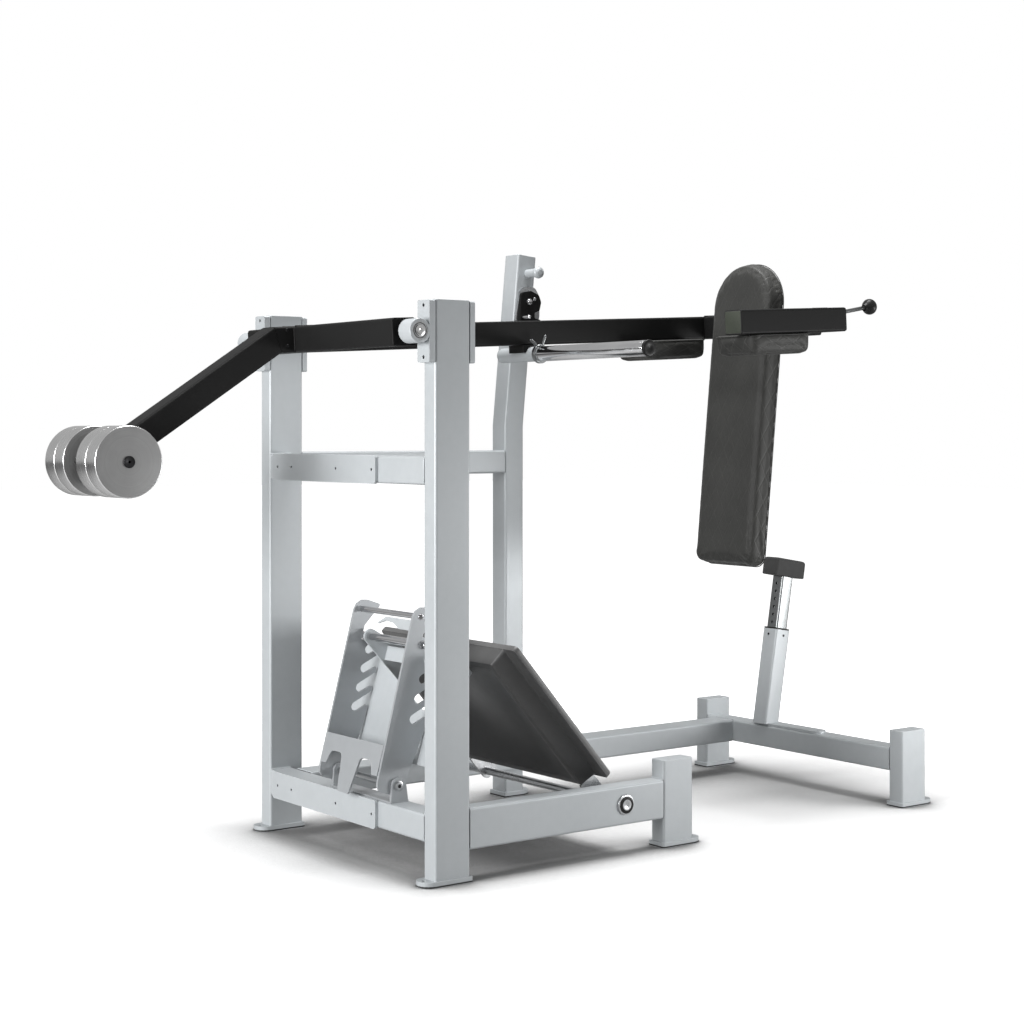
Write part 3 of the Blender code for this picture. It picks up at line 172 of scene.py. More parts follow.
class Graph:
    """The node tree of a material or of the world, filled from Python expressions."""

    def __init__(self, tree: bpy.types.NodeTree) -> None:
        """Empties the tree.

        Args:
            tree: A material's or the world's node tree.
        """
        self.tree = tree
        tree.nodes.clear()
        self.spot_socket = None

    def node(self, kind: str, settings: dict | None = None, sockets: dict | None = None) -> bpy.types.Node:
        """Adds one node.

        Args:
            kind: The node's type, without the words that all shader nodes share.
            settings: Attributes to set first, such as the operation.
            sockets: Values or links by the input's name or number.

        Returns:
            The new node.
        """
        made = self.tree.nodes.new("ShaderNode" + kind)
        for name, value in (settings or {}).items():
            setattr(made, name, value)
        for name, value in (sockets or {}).items():
            source = value.socket if isinstance(value, Wire) else value
            if isinstance(source, bpy.types.NodeSocket):
                self.tree.links.new(source, made.inputs[name])
            else:
                made.inputs[name].default_value = source
        return made

    def math(self, operation: str, *operands: "Wire | float") -> Wire:
        """Adds a Math node and gives its result."""
        made = self.node("Math", {"operation": operation}, dict(enumerate(operands)))
        return Wire(self, made.outputs[0])

    def vector(self, operation: str, *operands: object) -> bpy.types.Node:
        """Adds a Vector Math node on sockets or constant vectors and gives the node."""
        return self.node("VectorMath", {"operation": operation}, dict(enumerate(operands)))

    def spot(self) -> bpy.types.NodeSocket:
        """The point on the surface in the row frame at rest."""
        if self.spot_socket is None:
            self.spot_socket = self.node("TexCoord").outputs["Object"]
        return self.spot_socket

    def along(self, origin: Vector, axis: Vector) -> Wire:
        """How far the point is from an origin along an axis."""
        offset = self.vector("SUBTRACT", self.spot(), tuple(origin))
        return Wire(self, self.vector("DOT_PRODUCT", offset.outputs[0], tuple(axis)).outputs["Value"])

    def away(self, origin: Vector, axis: Vector) -> Wire:
        """How far the point is from a line."""
        offset = self.vector("SUBTRACT", self.spot(), tuple(origin)).outputs[0]
        aside = self.vector("CROSS_PRODUCT", offset, tuple(axis)).outputs[0]
        return Wire(self, self.vector("LENGTH", aside).outputs["Value"])

    def noise(self, scale: float, detail: float = 2.0, stretch: Sequence[float] | None = None,
              roughness: float = 0.5) -> Wire:
        """A cloudy value about one half.

        Args:
            scale: Clouds to the metre.
            detail: How many finer layers it has.
            stretch: A factor for each axis, small where the clouds are long.
            roughness: How strong the finer layers are.

        Returns:
            The value.
        """
        spot = self.vector("MULTIPLY", self.spot(), tuple(stretch)).outputs[0] if stretch else self.spot()
        sockets = {"Vector": spot, "Scale": scale, "Detail": detail, "Roughness": roughness}
        return Wire(self, self.node("TexNoise", {}, sockets).outputs[0])

    def rings(self, distance: Wire, scale: float, detail: float = 3.0) -> Wire:
        """A value that varies with one distance only, such as a cutter's marks."""
        sockets = {"W": distance, "Scale": scale, "Detail": detail}
        return Wire(self, self.node("TexNoise", {"noise_dimensions": "1D"}, sockets).outputs[0])

    def cells(self, scale: float) -> Wire:
        """A value that rises from each cell's middle."""
        return Wire(self, self.node("TexVoronoi", {}, {"Vector": self.spot(), "Scale": scale}).outputs["Distance"])

    def fade(self, value: Wire, start: float, end: float, low: float = 0.0, high: float = 1.0) -> Wire:
        """A smooth step between two values.

        Args:
            value: What decides.
            start: Where the step begins.
            end: Where it ends.
            low: The result before the start.
            high: The result after the end.

        Returns:
            The result, which stays between low and high.
        """
        sockets = {"Value": value, "From Min": start, "From Max": end, "To Min": low, "To Max": high}
        return Wire(self, self.node("MapRange", {"interpolation_type": "SMOOTHSTEP"}, sockets).outputs[0])

    def ray(self, kind: str) -> Wire:
        """Whether the ray is of a kind, as 1 or 0."""
        return Wire(self, self.node("LightPath").outputs[f"Is {kind} Ray"])

    def seen(self) -> Wire:
        """Whether the camera sees the point, directly or through glass."""
        return self.math("MAXIMUM", self.ray("Camera"), self.ray("Transmission"))

    def edges(self, radius: float) -> Wire:
        """A mask of the surface's convex and concave edges."""
        bent = self.node("Bevel", {"samples": 4}, {"Radius": radius}).outputs[0]
        facing = self.node("NewGeometry").outputs["Normal"]
        return 1.0 - Wire(self, self.vector("DOT_PRODUCT", bent, facing).outputs["Value"])

    def mix(self, share: Wire | float, first: object, second: object) -> bpy.types.NodeSocket:
        """A colour between two others.

        Args:
            share: How much of the second.
            first: A colour or a socket.
            second: A colour or a socket.

        Returns:
            The mixed colour's socket.
        """
        pair = [(*each, 1.0) if isinstance(each, tuple) else each for each in (first, second)]
        made = self.node("Mix", {"data_type": "RGBA"}, {0: share, 6: pair[0], 7: pair[1]})
        return made.outputs[2]

    def bump(self, height: Wire, distance: float, under: bpy.types.NodeSocket | None = None) -> bpy.types.NodeSocket:
        """A normal raised by a height.

        Args:
            height: The height, from 0 to 1.
            distance: What 1 stands for, in metres.
            under: The normal of a coarser bump below this one.

        Returns:
            The normal's socket.
        """
        sockets = {"Height": height, "Distance": distance, "Strength": 1.0}
        if under is not None:
            sockets["Normal"] = under
        return self.node("Bump", {}, sockets).outputs[0]

    def surface(self, varying: dict, constant: dict | None = None) -> None:
        """Ends the tree in a principled surface.

        Args:
            varying: Links by socket name.
            constant: Numbers by socket name.
        """
        shader = self.node("BsdfPrincipled", {}, {**(constant or {}), **varying})
        self.node("OutputMaterial", {}, {"Surface": shader.outputs[0]})


def grey(level: float) -> Colour:
    """A neutral colour."""
    return (level,) * 3


@dataclass(frozen=True)
class Finish:
    """A named surface finish, built once as a material, and the record's slot for it."""

    name: str
    slot: Slot | None

    def build(self, graph: Graph) -> None:
        """Fills the material's node tree."""
        raise NotImplementedError

    def material(self) -> bpy.types.Material:
        """The finish's material, made at its first use."""
        known = bpy.data.materials.get(self.name)
        if known is None:
            known = bpy.data.materials.new(self.name)
            known.use_nodes = True
            self.build(Graph(known.node_tree))
        return known


@dataclass(frozen=True)
class PowderCoat(Finish):
    """Baked powder paint: metal flake, orange peel, uneven gloss, and a painted highlight along edges."""

    deep: Colour
    light: Colour
    # The colour of the painted highlight along edges.
    edge: Colour
    metallic: float
    roughness: float
    flake: float = 0.5
    peel: float = 0.00004
    edge_highlight_share: float = 0.5
    specular: float = 0.5
    coat: float = 0.08

    def build(self, graph: Graph) -> None:
        """Fills the material's node tree."""
        broad = graph.noise(1.7, 3.0)
        cloud = graph.noise(38.0, 4.0)
        flake = graph.noise(2400.0, 1.0)
        level = (broad - 0.5) * 0.9 + (cloud - 0.5) * 0.35 + (flake - 0.5) * self.flake + 0.5
        # Painted highlight: the bevel mask finds the edges, and their colour is mixed towards the lighter edge colour,
        # as where rounded corners catch the light.
        edge = graph.fade(graph.edges(0.0035), 0.02, 0.22) * graph.fade(cloud, 0.3, 0.7, 0.6, 1.0)
        colour = graph.mix(edge * self.edge_highlight_share, graph.mix(level, self.deep, self.light), self.edge)
        scuffs = graph.fade(graph.noise(16.0, 6.0, (1.0, 1.0, 3.0), 0.7), 0.56, 0.72)
        roughness = (cloud - 0.5) * 0.12 + scuffs * 0.05 - edge * 0.06 + self.roughness
        peel = graph.noise(620.0, 2.0) * 0.7 + graph.noise(1500.0, 1.0) * 0.3
        graph.surface({"Base Color": colour, "Roughness": roughness, "Normal": graph.bump(peel, self.peel)},
                      {"Metallic": self.metallic, "Specular IOR Level": self.specular, "Coat Weight": self.coat,
                       "Coat Roughness": 0.22})


@dataclass(frozen=True)
class TurnedSteel(Finish):
    """Bare steel with the cutter's rings about an axis."""

    origin: Vector
    axis: Vector
    dark: Colour
    light: Colour
    roughness: float
    depth: float = 0.00002

    def build(self, graph: Graph) -> None:
        """Fills the material's node tree."""
        track = graph.away(self.origin, self.axis) + graph.along(self.origin, self.axis) * 1.3
        fine = graph.rings(track, 2600.0, 2.0)
        coarse = graph.rings(track, 240.0, 3.0)
        cloud = graph.noise(24.0, 4.0)
        level = (fine - 0.5) * 0.9 + (coarse - 0.5) * 0.8 + (cloud - 0.5) * 0.5 + 0.5
        stain = graph.fade(graph.noise(60.0, 5.0, None, 0.65), 0.60, 0.78)
        colour = graph.mix(stain * 0.25, graph.mix(level, self.dark, self.light), self.dark)
        roughness = (coarse - 0.5) * 0.16 + (cloud - 0.5) * 0.10 + stain * 0.08 + self.roughness
        graph.surface({"Base Color": colour, "Roughness": roughness,
                       "Normal": graph.bump(fine * 0.6 + coarse * 0.4, self.depth)},
                      {"Metallic": 1.0})


@dataclass(frozen=True)
class Plated(Finish):
    """Chrome or zinc plate: polishing marks, faint smears and, on zinc, a crystalline bloom."""

    dark: Colour
    light: Colour
    roughness: float
    bloom: float = 0.0
    ripple: float = 0.000006

    def build(self, graph: Graph) -> None:
        """Fills the material's node tree."""
        smear = graph.fade(graph.noise(14.0, 5.0, (1.0, 0.35, 1.0), 0.6), 0.42, 0.68)
        grain = graph.noise(700.0, 3.0, (1.0, 0.05, 1.0))
        crystal = graph.cells(160.0)
        level = smear * 0.35 + (grain - 0.5) * 0.25 + (crystal - 0.4) * self.bloom + 0.45
        roughness = smear * 0.07 + (grain - 0.5) * 0.05 + crystal * self.bloom * 0.08 + self.roughness
        graph.surface({"Base Color": graph.mix(level, self.dark, self.light), "Roughness": roughness,
                       "Normal": graph.bump(grain * 0.5 + graph.noise(90.0, 2.0) * 0.5, self.ripple)},
                      {"Metallic": 1.0})


@dataclass(frozen=True)
class Moulded(Finish):
    """Plastic or rubber from a textured mould, a little paler on rubbed edges."""

    deep: Colour
    light: Colour
    roughness: float
    grain: float = 900.0
    depth: float = 0.00005
    sheen: float = 0.0
    specular: float = 0.2

    def build(self, graph: Graph) -> None:
        """Fills the material's node tree."""
        cloud = graph.noise(30.0, 4.0)
        speck = graph.noise(self.grain * 1.7, 2.0)
        rubbed = graph.fade(graph.edges(0.003), 0.03, 0.30) * graph.fade(cloud, 0.35, 0.65, 0.4, 1.0)
        level = (cloud - 0.5) * 0.9 + (speck - 0.5) * 0.5 + rubbed * 0.5 + 0.35
        roughness = (cloud - 0.5) * 0.14 - rubbed * 0.06 + self.roughness
        pits = graph.cells(self.grain)
        graph.surface({"Base Color": graph.mix(level, self.deep, self.light), "Roughness": roughness,
                       "Normal": graph.bump(pits * 0.6 + speck * 0.4, self.depth)},
                      {"Sheen Weight": self.sheen, "Sheen Roughness": 0.5, "Specular IOR Level": self.specular})


@dataclass(frozen=True)
class Upholstery(Finish):
    """Charcoal cover embossed with crossing lines, whose coordinates each cushion's mesh carries."""

    deep: Colour
    light: Colour
    thread: Colour

    def build(self, graph: Graph) -> None:
        """Fills the material's node tree."""
        quilt = graph.node("Attribute", {"attribute_name": Quilting.attribute}).outputs["Vector"]
        split = graph.node("SeparateXYZ", {}, {0: quilt})
        across, along, side = (Wire(graph, output) for output in split.outputs)
        first, second = (abs(graph.math("FRACT", phase) - 0.5) for phase in (across, along))
        crossing = graph.math("MAXIMUM", first, second)
        line = graph.fade(crossing, 0.455, 0.492)
        weave = graph.math("SINE", across * 260.0) * graph.math("SINE", along * 260.0)
        cloud = graph.noise(9.0, 4.0)
        grain = graph.cells(750.0)
        rubbed = graph.fade(graph.noise(34.0, 5.0, None, 0.65), 0.45, 0.75)
        level = (cloud - 0.5) * 0.8 + (grain - 0.4) * 0.35 + weave * 0.10 + side * 0.30 + rubbed * 0.15 + 0.30
        colour = graph.mix(line * (side * 0.32 + 0.04), graph.mix(level, self.deep, self.light), self.thread)
        roughness = (cloud - 0.5) * 0.14 - line * 0.10 - rubbed * 0.05 + 0.56
        low = graph.bump(1.0 - line, 0.0002)
        graph.surface({"Base Color": colour, "Roughness": roughness,
                       "Normal": graph.bump(grain * 0.7 + weave * 0.15, 0.00012, low)},
                      {"Sheen Weight": 0.06, "Sheen Roughness": 0.45, "Specular IOR Level": 0.3})


@dataclass(frozen=True)
class Paper(Finish):
    """The studio's white floor, which shows the lamps' shadows and a painted shade under the machine, and clips to
    white elsewhere.
    """

    lift: float = 0.05
    bounce: float = 0.45
    middle: Vector = Vector((0.1, 0.0, 0.0))
    near: float = 1.3
    far: float = 2.7
    # Reach, darkest occlusion and colour of the painted shade under the machine.
    contact_reach: float = 0.60
    contact_darkest: float = 0.45
    contact_level: float = 0.16
    close_deep: float = 0.93
    close_light: float = 0.95
    far_level: float = 0.80

    def build(self, graph: Graph) -> None:
        """Fills the material's node tree."""
        seen = graph.seen()
        cloud = graph.noise(3.0, 3.0)
        far = graph.fade(graph.away(self.middle, Z), self.near, self.far)
        # Painted shade: the floor's colour darkens towards contact_level where ambient occlusion finds the machine
        # close above.
        openness = graph.node("AmbientOcclusion", {"samples": 16}, {"Distance": self.contact_reach}).outputs["AO"]
        painted_contact_shade = graph.fade(Wire(graph, openness), self.contact_darkest, 1.0)
        open_floor = graph.mix(cloud, grey(self.close_deep), grey(self.close_light))
        close = graph.mix(painted_contact_shade, grey(self.contact_level), open_floor)
        white = graph.mix(far, close, grey(self.far_level))
        matt = graph.node("BsdfDiffuse", {}, {"Color": graph.mix(seen, grey(self.bounce), white)})
        strength = seen * (far * (1 - self.lift) + self.lift)
        glow = graph.node("Emission", {}, {"Color": (1, 1, 1, 1), "Strength": strength})
        both = graph.node("AddShader", {}, {0: matt.outputs[0], 1: glow.outputs[0]})
        graph.node("OutputMaterial", {}, {"Surface": both.outputs[0]})


ARM_PIVOT = Place.ARM.matrix.translation
DISC_AXIS = Place.LEVER.matrix @ Vector((-LEVER_REACH, 0.0, 0.0))

# The third colour of each powder coat is the colour of its painted edge highlight.
SILVER = PowderCoat("silver_powder_coat", Slot.SILVER_PAINT, (0.400, 0.425, 0.440), (0.520, 0.545, 0.560),
                    (0.74, 0.77, 0.79), metallic=0.20, roughness=0.43, specular=0.35, coat=0.04)
BLACK = PowderCoat("black_powder_coat", Slot.BLACK_PAINT, grey(0.006), grey(0.012), grey(0.035),
                   metallic=0.0, roughness=0.50, flake=0.8, peel=0.00006, specular=0.14, coat=0.0)
GREY = PowderCoat("grey_powder_coat", Slot.GREY_PAINT, (0.320, 0.334, 0.346), (0.420, 0.438, 0.454),
                  (0.58, 0.60, 0.62), metallic=0.35, roughness=0.38)
DARK_TRAY = PowderCoat("charcoal_powder_coat", Slot.BLACK_PAINT, grey(0.056), grey(0.088), grey(0.11),
                       metallic=0.0, roughness=0.42, flake=0.8, peel=0.00006, specular=0.35, coat=0.0)
# The tread box's side band: the tray's black paint painted lighter, as where the light falls on it, with a strong
# painted highlight along its edges.
LIT_TRAY_BAND = PowderCoat("lit_tray_band", Slot.BLACK_PAINT, grey(0.090), grey(0.140), grey(0.34),
                       metallic=0.1, roughness=0.42, flake=0.8, peel=0.00006, edge_highlight_share=0.8, specular=0.35, coat=0.0)
CHROME = Plated("chrome_plate", Slot.CHROME, (0.62, 0.62, 0.63), (0.80, 0.80, 0.81), 0.07)
ZINC = Plated("zinc_plate", Slot.ZINC, (0.42, 0.43, 0.44), (0.58, 0.59, 0.60), 0.26, 0.5, 0.00002)
DARK_ZINC = Plated("dark_zinc_plate", Slot.ZINC, (0.17, 0.18, 0.18), (0.26, 0.265, 0.27), 0.30, 0.4, 0.00002)
BLACK_OXIDE = Plated("black_oxide", Slot.ZINC, (0.020, 0.020, 0.022), (0.050, 0.050, 0.052), 0.36, 0.3, 0.00003)
DISC_FACE = TurnedSteel("ground_disc_face", Slot.MACHINED_STEEL, DISC_AXIS, Y, grey(0.300), grey(0.400), 0.50)
DISC_RIM = TurnedSteel("turned_disc_rim", Slot.MACHINED_STEEL, DISC_AXIS, Y, grey(0.62), grey(0.82), 0.26, 0.00003)
AXLE_STEEL = TurnedSteel("turned_axle_end", Slot.MACHINED_STEEL, ARM_PIVOT, Y, grey(0.62), grey(0.82), 0.22)
PLASTIC = Moulded("moulded_black_plastic", Slot.BLACK_PLASTIC, grey(0.010), grey(0.022), 0.36, 900.0, 0.00003)
PLUG = Moulded("moulded_end_plug", Slot.BLACK_PLASTIC, (0.050, 0.056, 0.044), (0.072, 0.080, 0.064), 0.52, 700.0)
SEAL = Moulded("bearing_seal", Slot.RUBBER, grey(0.15), grey(0.24), 0.45, 1200.0, 0.00002)
RUBBER = Moulded("black_rubber", Slot.RUBBER, grey(0.030), grey(0.056), 0.62, 500.0, 0.00008, 0.1)
TREAD = Moulded("tread_rubber", Slot.RUBBER, grey(0.022), grey(0.042), 0.68, 420.0, 0.00012, 0.1)
COVER = Upholstery("embossed_upholstery", Slot.UPHOLSTERY, (0.027, 0.027, 0.0255), (0.046, 0.046, 0.043),
                   (0.11, 0.11, 0.105))


def frame_about(axis: Vector) -> tuple[Vector, Vector, Vector]:
    """An axis as a unit vector, and two directions across it."""
    axis = Vector(axis).normalized()
    side = axis.orthogonal().normalized()
    return axis, side, axis.cross(side)


def circle(centre: Vector, side: Vector, other: Vector, radius: float, steps: int,
           hexagon: bool = False) -> list[Vector]:
    """A ring of points.

    Args:
        centre: Its middle.
        side: The direction of its first point.
        other: The direction a quarter turn on.
        radius: Its radius, and a hexagon's out to the corners.
        steps: How many points it has.
        hexagon: Whether the points are on a hexagon's sides.

    Returns:
        The points in order.
    """
    points = []
    for step in range(steps):
        turn = 2 * math.pi * step / steps
        spread = math.cos(math.pi / 6) / math.cos(turn % (math.pi / 3) - math.pi / 6) if hexagon else 1.0
        points.append(centre + (side * math.cos(turn) + other * math.sin(turn)) * radius * spread)
    return points


class Form:
    """A mesh in the making, in one of the machine's frames."""

    def __init__(self) -> None:
        """Starts with nothing in it."""
        self.bm = bmesh.new()

    def skin(self, rings: Sequence[Iterable[Vector]], closed: bool = False,
             finishes: Sequence[int] | None = None) -> "Form":
        """Adds a closed skin over rings with the same number of points.

        Args:
            rings: Points of each ring, in order.
            closed: Whether the last ring joins the first, instead of both being filled.
            finishes: The finish's number for each band between two rings.

        Returns:
            This form.
        """
        made = [[self.bm.verts.new(point) for point in points] for points in rings]
        pairs = list(zip(made, made[1:]))
        if closed:
            pairs.append((made[-1], made[0]))
        for band, (lower, upper) in enumerate(pairs):
            for index in range(len(lower)):
                after = (index + 1) % len(lower)
                face = self.bm.faces.new((lower[index], lower[after], upper[after], upper[index]))
                face.material_index = finishes[band] if finishes else 0
        if not closed:
            self.bm.faces.new(made[0]).material_index = finishes[0] if finishes else 0
            self.bm.faces.new(made[-1]).material_index = finishes[-1] if finishes else 0
        return self

    def turn(self, profile: Profile, origin: Sequence[float], axis: Vector, steps: int = 48,
             bored: bool = False, finishes: Sequence[int] | None = None) -> "Form":
        """Adds a round body.

        Args:
            profile: Radius and distance along the axis, in order.
            origin: Where distance 0 is.
            axis: The body's axis.
            steps: Points in a full turn.
            bored: Whether a hole runs through, so that the profile joins itself.
            finishes: The finish's number for each band.

        Returns:
            This form.
        """
        axis, side, other = frame_about(axis)
        rings = [circle(Vector(origin) + axis * along, side, other, radius, steps) for radius, along in profile]
        return self.skin(rings, bored, finishes)

    def prism(self, outline: Profile, origin: Sequence[float], across: Vector, up: Vector, thickness: float,
              edge: float) -> "Form":
        """Adds a solid plate along across x up, with its edges rounded off.

        Args:
            outline: Flat points in order.
            origin: Where the outline's 0, 0 is.
            across: The outline's first direction.
            up: The outline's second direction.
            thickness: The plate's thickness.
            edge: The size of the rounded edges.

        Returns:
            This form.
        """
        out = Vector(across).cross(Vector(up)).normalized()
        levels = [(edge, 0.0), (edge * 0.3, edge * 0.3), (0.0, edge), (0.0, thickness - edge),
                  (edge * 0.3, thickness - edge * 0.3), (edge, thickness)]
        rings = []
        for shrink, height in levels:
            points = drawn_in(outline, shrink)
            rings.append([Vector(origin) + Vector(across) * x + Vector(up) * y + out * height for x, y in points])
        return self.skin(rings)

    def wire(self, path: Sequence[Sequence[float]], radii: float | Sequence[float], steps: int = 10,
             closed: bool = False) -> "Form":
        """Adds a round wire along a path.

        Args:
            path: The points that it follows.
            radii: The wire's radius, or one for each point.
            steps: Points around it.
            closed: Whether the path ends where it starts.

        Returns:
            This form.
        """
        points = [Vector(point) for point in path]
        count = len(points)
        sizes = radii if isinstance(radii, Sequence) else [radii] * count
        rings = []
        side = None
        for index, (point, size) in enumerate(zip(points, sizes)):
            before = points[index - 1] if closed or index else point
            after = points[(index + 1) % count] if closed or index < count - 1 else point
            along = (after - before).normalized()
            side = along.orthogonal() if side is None else side - along * side.dot(along)
            side.normalize()
            rings.append(circle(point, side, along.cross(side), size, steps))
        return self.skin(rings, closed)

    def screw(self, at: Sequence[float], axis: Vector, radius: float, height: float, sink: float) -> "Form":
        """Adds a round screw head with a hexagon socket.

        Args:
            at: The middle of the face that it sits on.
            axis: Out of that face.
            radius: The head's radius.
            height: How far the head stands out.
            sink: How far its underside is inside the face.

        Returns:
            This form.
        """
        axis, side, other = frame_about(axis)
        bevel, socket = radius * 0.12, radius * 0.52
        levels = ((radius * 0.9, -sink, False), (radius, -sink + 0.0001, False), (radius, height - bevel, False),
                  (radius - bevel, height, False), (socket * 1.05, height, False),
                  (socket, height - bevel * 0.5, True), (socket, height * 0.35, True))
        return self.skin([circle(Vector(at) + axis * along, side, other, size, 24, hexagon)
                          for size, along, hexagon in levels])

    def object(self, name: str, place: Place, finishes: Sequence[Finish], sharp: float = 38.0) -> bpy.types.Object:
        """Turns the form into an object whose mesh is in the row frame.

        Args:
            name: The piece's name.
            place: The frame that the form was made in.
            finishes: The finishes by their numbers.
            sharp: The angle in degrees from which an edge stays sharp.

        Returns:
            The object, with no parent.
        """
        bmesh.ops.recalc_face_normals(self.bm, faces=self.bm.faces)
        mesh = bpy.data.meshes.new(name)
        self.bm.to_mesh(mesh)
        self.bm.free()
        mesh.transform(place.matrix)
        mesh.shade_smooth()
        mesh.set_sharp_from_angle(angle=math.radians(sharp))
        for finish in finishes:
            mesh.materials.append(finish.material())
        made = bpy.data.objects.new(name, mesh)
        bpy.context.scene.collection.objects.link(made)
        return made

    def piece(self, name: str, place: Place, finishes: Sequence[Finish], node: str = "", sharp: float = 38.0) -> None:
        """Turns the form into a piece on its frame's body, in its first finish's slot.

        Args:
            name: The piece's name.
            place: The frame that the form was made in.
            finishes: The finishes by their numbers.
            node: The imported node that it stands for, or nothing.
            sharp: The angle in degrees from which an edge stays sharp.
        """
        settle(self.object(name, place, finishes, sharp), place.body, node)


def rounded(corners: Sequence[tuple[float, float, float]], steps: int = 6) -> list[tuple[float, float]]:
    """A flat outline whose corners are rounded.

    Args:
        corners: x, y and radius of each.
        steps: Steps in each corner's arc.

    Returns:
        The outline's points.
    """
    points = []
    for index, (x, y, radius) in enumerate(corners):
        here = Vector((x, y))
        before = (Vector(corners[index - 1][:2]) - here).normalized()
        after = (Vector(corners[(index + 1) % len(corners)][:2]) - here).normalized()
        if radius <= 0:
            points.append((x, y))
            continue
        half = before.angle(after) / 2
        start = here + before * radius / math.tan(half)
        end = here + after * radius / math.tan(half)
        centre = here + (before + after).normalized() * radius / math.sin(half)
        first = math.atan2(start.y - centre.y, start.x - centre.x)
        sweep = math.atan2(end.y - centre.y, end.x - centre.x) - first
        sweep = (sweep + math.pi) % (2 * math.pi) - math.pi
        points += [(centre.x + radius * math.cos(first + sweep * step / steps),
                    centre.y + radius * math.sin(first + sweep * step / steps)) for step in range(steps + 1)]
    return points


def rectangle(width: float, height: float, radius: float, steps: int = 6) -> list[tuple[float, float]]:
    """A centred rectangle's outline with rounded corners."""
    a, b = width / 2, height / 2
    return rounded([(-a, -b, radius), (a, -b, radius), (a, b, radius), (-a, b, radius)], steps)


def drawn_in(outline: Profile, amount: float) -> list[tuple[float, float]]:
    """A convex outline drawn in by an amount.

    Args:
        outline: Its points, counterclockwise.
        amount: How far each side moves in.

    Returns:
        The smaller outline's points.
    """
    if amount <= 0:
        return list(outline)
    points = []
    for index, (x, y) in enumerate(outline):
        before = Vector(outline[index - 1]) - Vector((x, y))
        after = Vector(outline[(index + 1) % len(outline)]) - Vector((x, y))
        left = Vector((before.y, -before.x)).normalized()
        right = Vector((-after.y, after.x)).normalized()
        middle = left + right
        if middle.length < 1e-6:
            points.append((x, y))
            continue
        middle.normalize()
        reach = amount / max(middle.dot(right), 0.3)
        points.append((x + middle.x * reach, y + middle.y * reach))
    return points


def settle(piece: bpy.types.Object, body: Body, node: str = "") -> None:
    """Gives a finished piece to its body.

    Args:
        piece: The object, in the row frame.
        body: The body that it moves with.
        node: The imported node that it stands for, or nothing.
    """
    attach(piece, body.value)
    if node:
        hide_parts(node)
    LOG.info("%s on %s: %d faces", piece.name, body.value, len(piece.data.polygons))


@dataclass
class PackedNodes:
    """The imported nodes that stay, with their finishes and smooth shading."""

    finishes: dict[Slot, Finish]
    special: dict[str, Finish]
    split_degrees: float = 50.0
    weld_distance: float = 0.00001
    face_influence: int = 80

    def smooth(self, obj: bpy.types.Object) -> None:
        """Shades a node's rounded corners smoothly, through modifiers only."""
        obj.data.shade_smooth()
        weld = obj.modifiers.new("Weld", "WELD")
        weld.merge_threshold = self.weld_distance
        split = obj.modifiers.new("Split", "EDGE_SPLIT")
        split.split_angle = math.radians(self.split_degrees)
        split.use_edge_sharp = False
        weighted = obj.modifiers.new("Weighted", "WEIGHTED_NORMAL")
        weighted.weight = self.face_influence

    def dress(self, nodes: dict[str, bpy.types.Object], record: dict) -> None:
        """Gives each shown node its finish.

        Args:
            nodes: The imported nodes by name.
            record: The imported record.
        """
        slots = {part["node"]: Slot(part["material_slot"]) for part in record["subparts"]}
        for name, obj in sorted(nodes.items()):
            finish = self.special.get(name) or self.finishes[slots[name]]
            obj.data.materials.clear()
            obj.data.materials.append(finish.material())
            if not obj.hide_render:
                self.smooth(obj)
                LOG.info("%s stays as packed in %s", name, finish.name)


@dataclass
class Counterweights:
    """Four turned discs on the lever, and the bolt through them."""

    radius: float = 0.102
    thickness: float = 0.0647
    bore: float = 0.0155
    edge: float = 0.0028
    first_offset: float = 0.0435
    pitch: float = 0.065
    relief: float = 0.001

    def disc(self, name: str, node: str, side: int, place: int) -> None:
        """Builds one disc.

        Args:
            name: The piece's name.
            node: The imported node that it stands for.
            side: -1 for near and 1 for far.
            place: 0 for inner and 1 for outer.
        """
        start = self.first_offset + place * self.pitch
        corner = [(self.radius - self.edge * (1 - math.sin(turn)), self.edge * (1 - math.cos(turn)))
                  for turn in (math.radians(22.5 * step) for step in range(5))]
        hub = self.bore + self.relief
        far_corner = [(radius, self.thickness - along) for radius, along in reversed(corner)]
        profile = [(self.bore, 0.0), (hub, 0.0), *corner, *far_corner, (hub, self.thickness),
                   (self.bore, self.thickness)]
        bands = [0, 0] + [1] * (2 * len(corner) - 1) + [0, 0, 0]
        form = Form().turn(profile, (-LEVER_REACH, side * start, 0), Y * side, 128, True, bands)
        form.piece(name, Place.LEVER, [DISC_FACE, DISC_RIM], node, 60)

    def bolt(self) -> None:
        """Builds the bolt with its end caps."""
        reach = self.first_offset + 2 * self.pitch
        form = Form().turn([(0.0150, -reach), (0.0150, reach)], (-LEVER_REACH, 0, 0), Y)
        for side in (-1, 1):
            cap = [(0.0168, 0.0), (0.0172, 0.0006), (0.0172, 0.0030), (0.0166, 0.0038), (0.0050, 0.0038),
                   (0.0038, 0.0030), (0.0036, -0.006)]
            form.turn(cap, (-LEVER_REACH, side * reach, 0), Y * side)
        settle(form.object("counterweight_bolt_caps", Place.LEVER, [BLACK_OXIDE]), Body.ARM,
               "counterweight_bolt")

    def build(self) -> None:
        """Builds the discs and the bolt."""
        for title, side in (("near", -1), ("far", 1)):
            for place, order in enumerate(("inner", "outer")):
                self.disc(f"{title}_{order}_disc", f"{title}_{order}_counterweight", side, place)
        self.bolt()


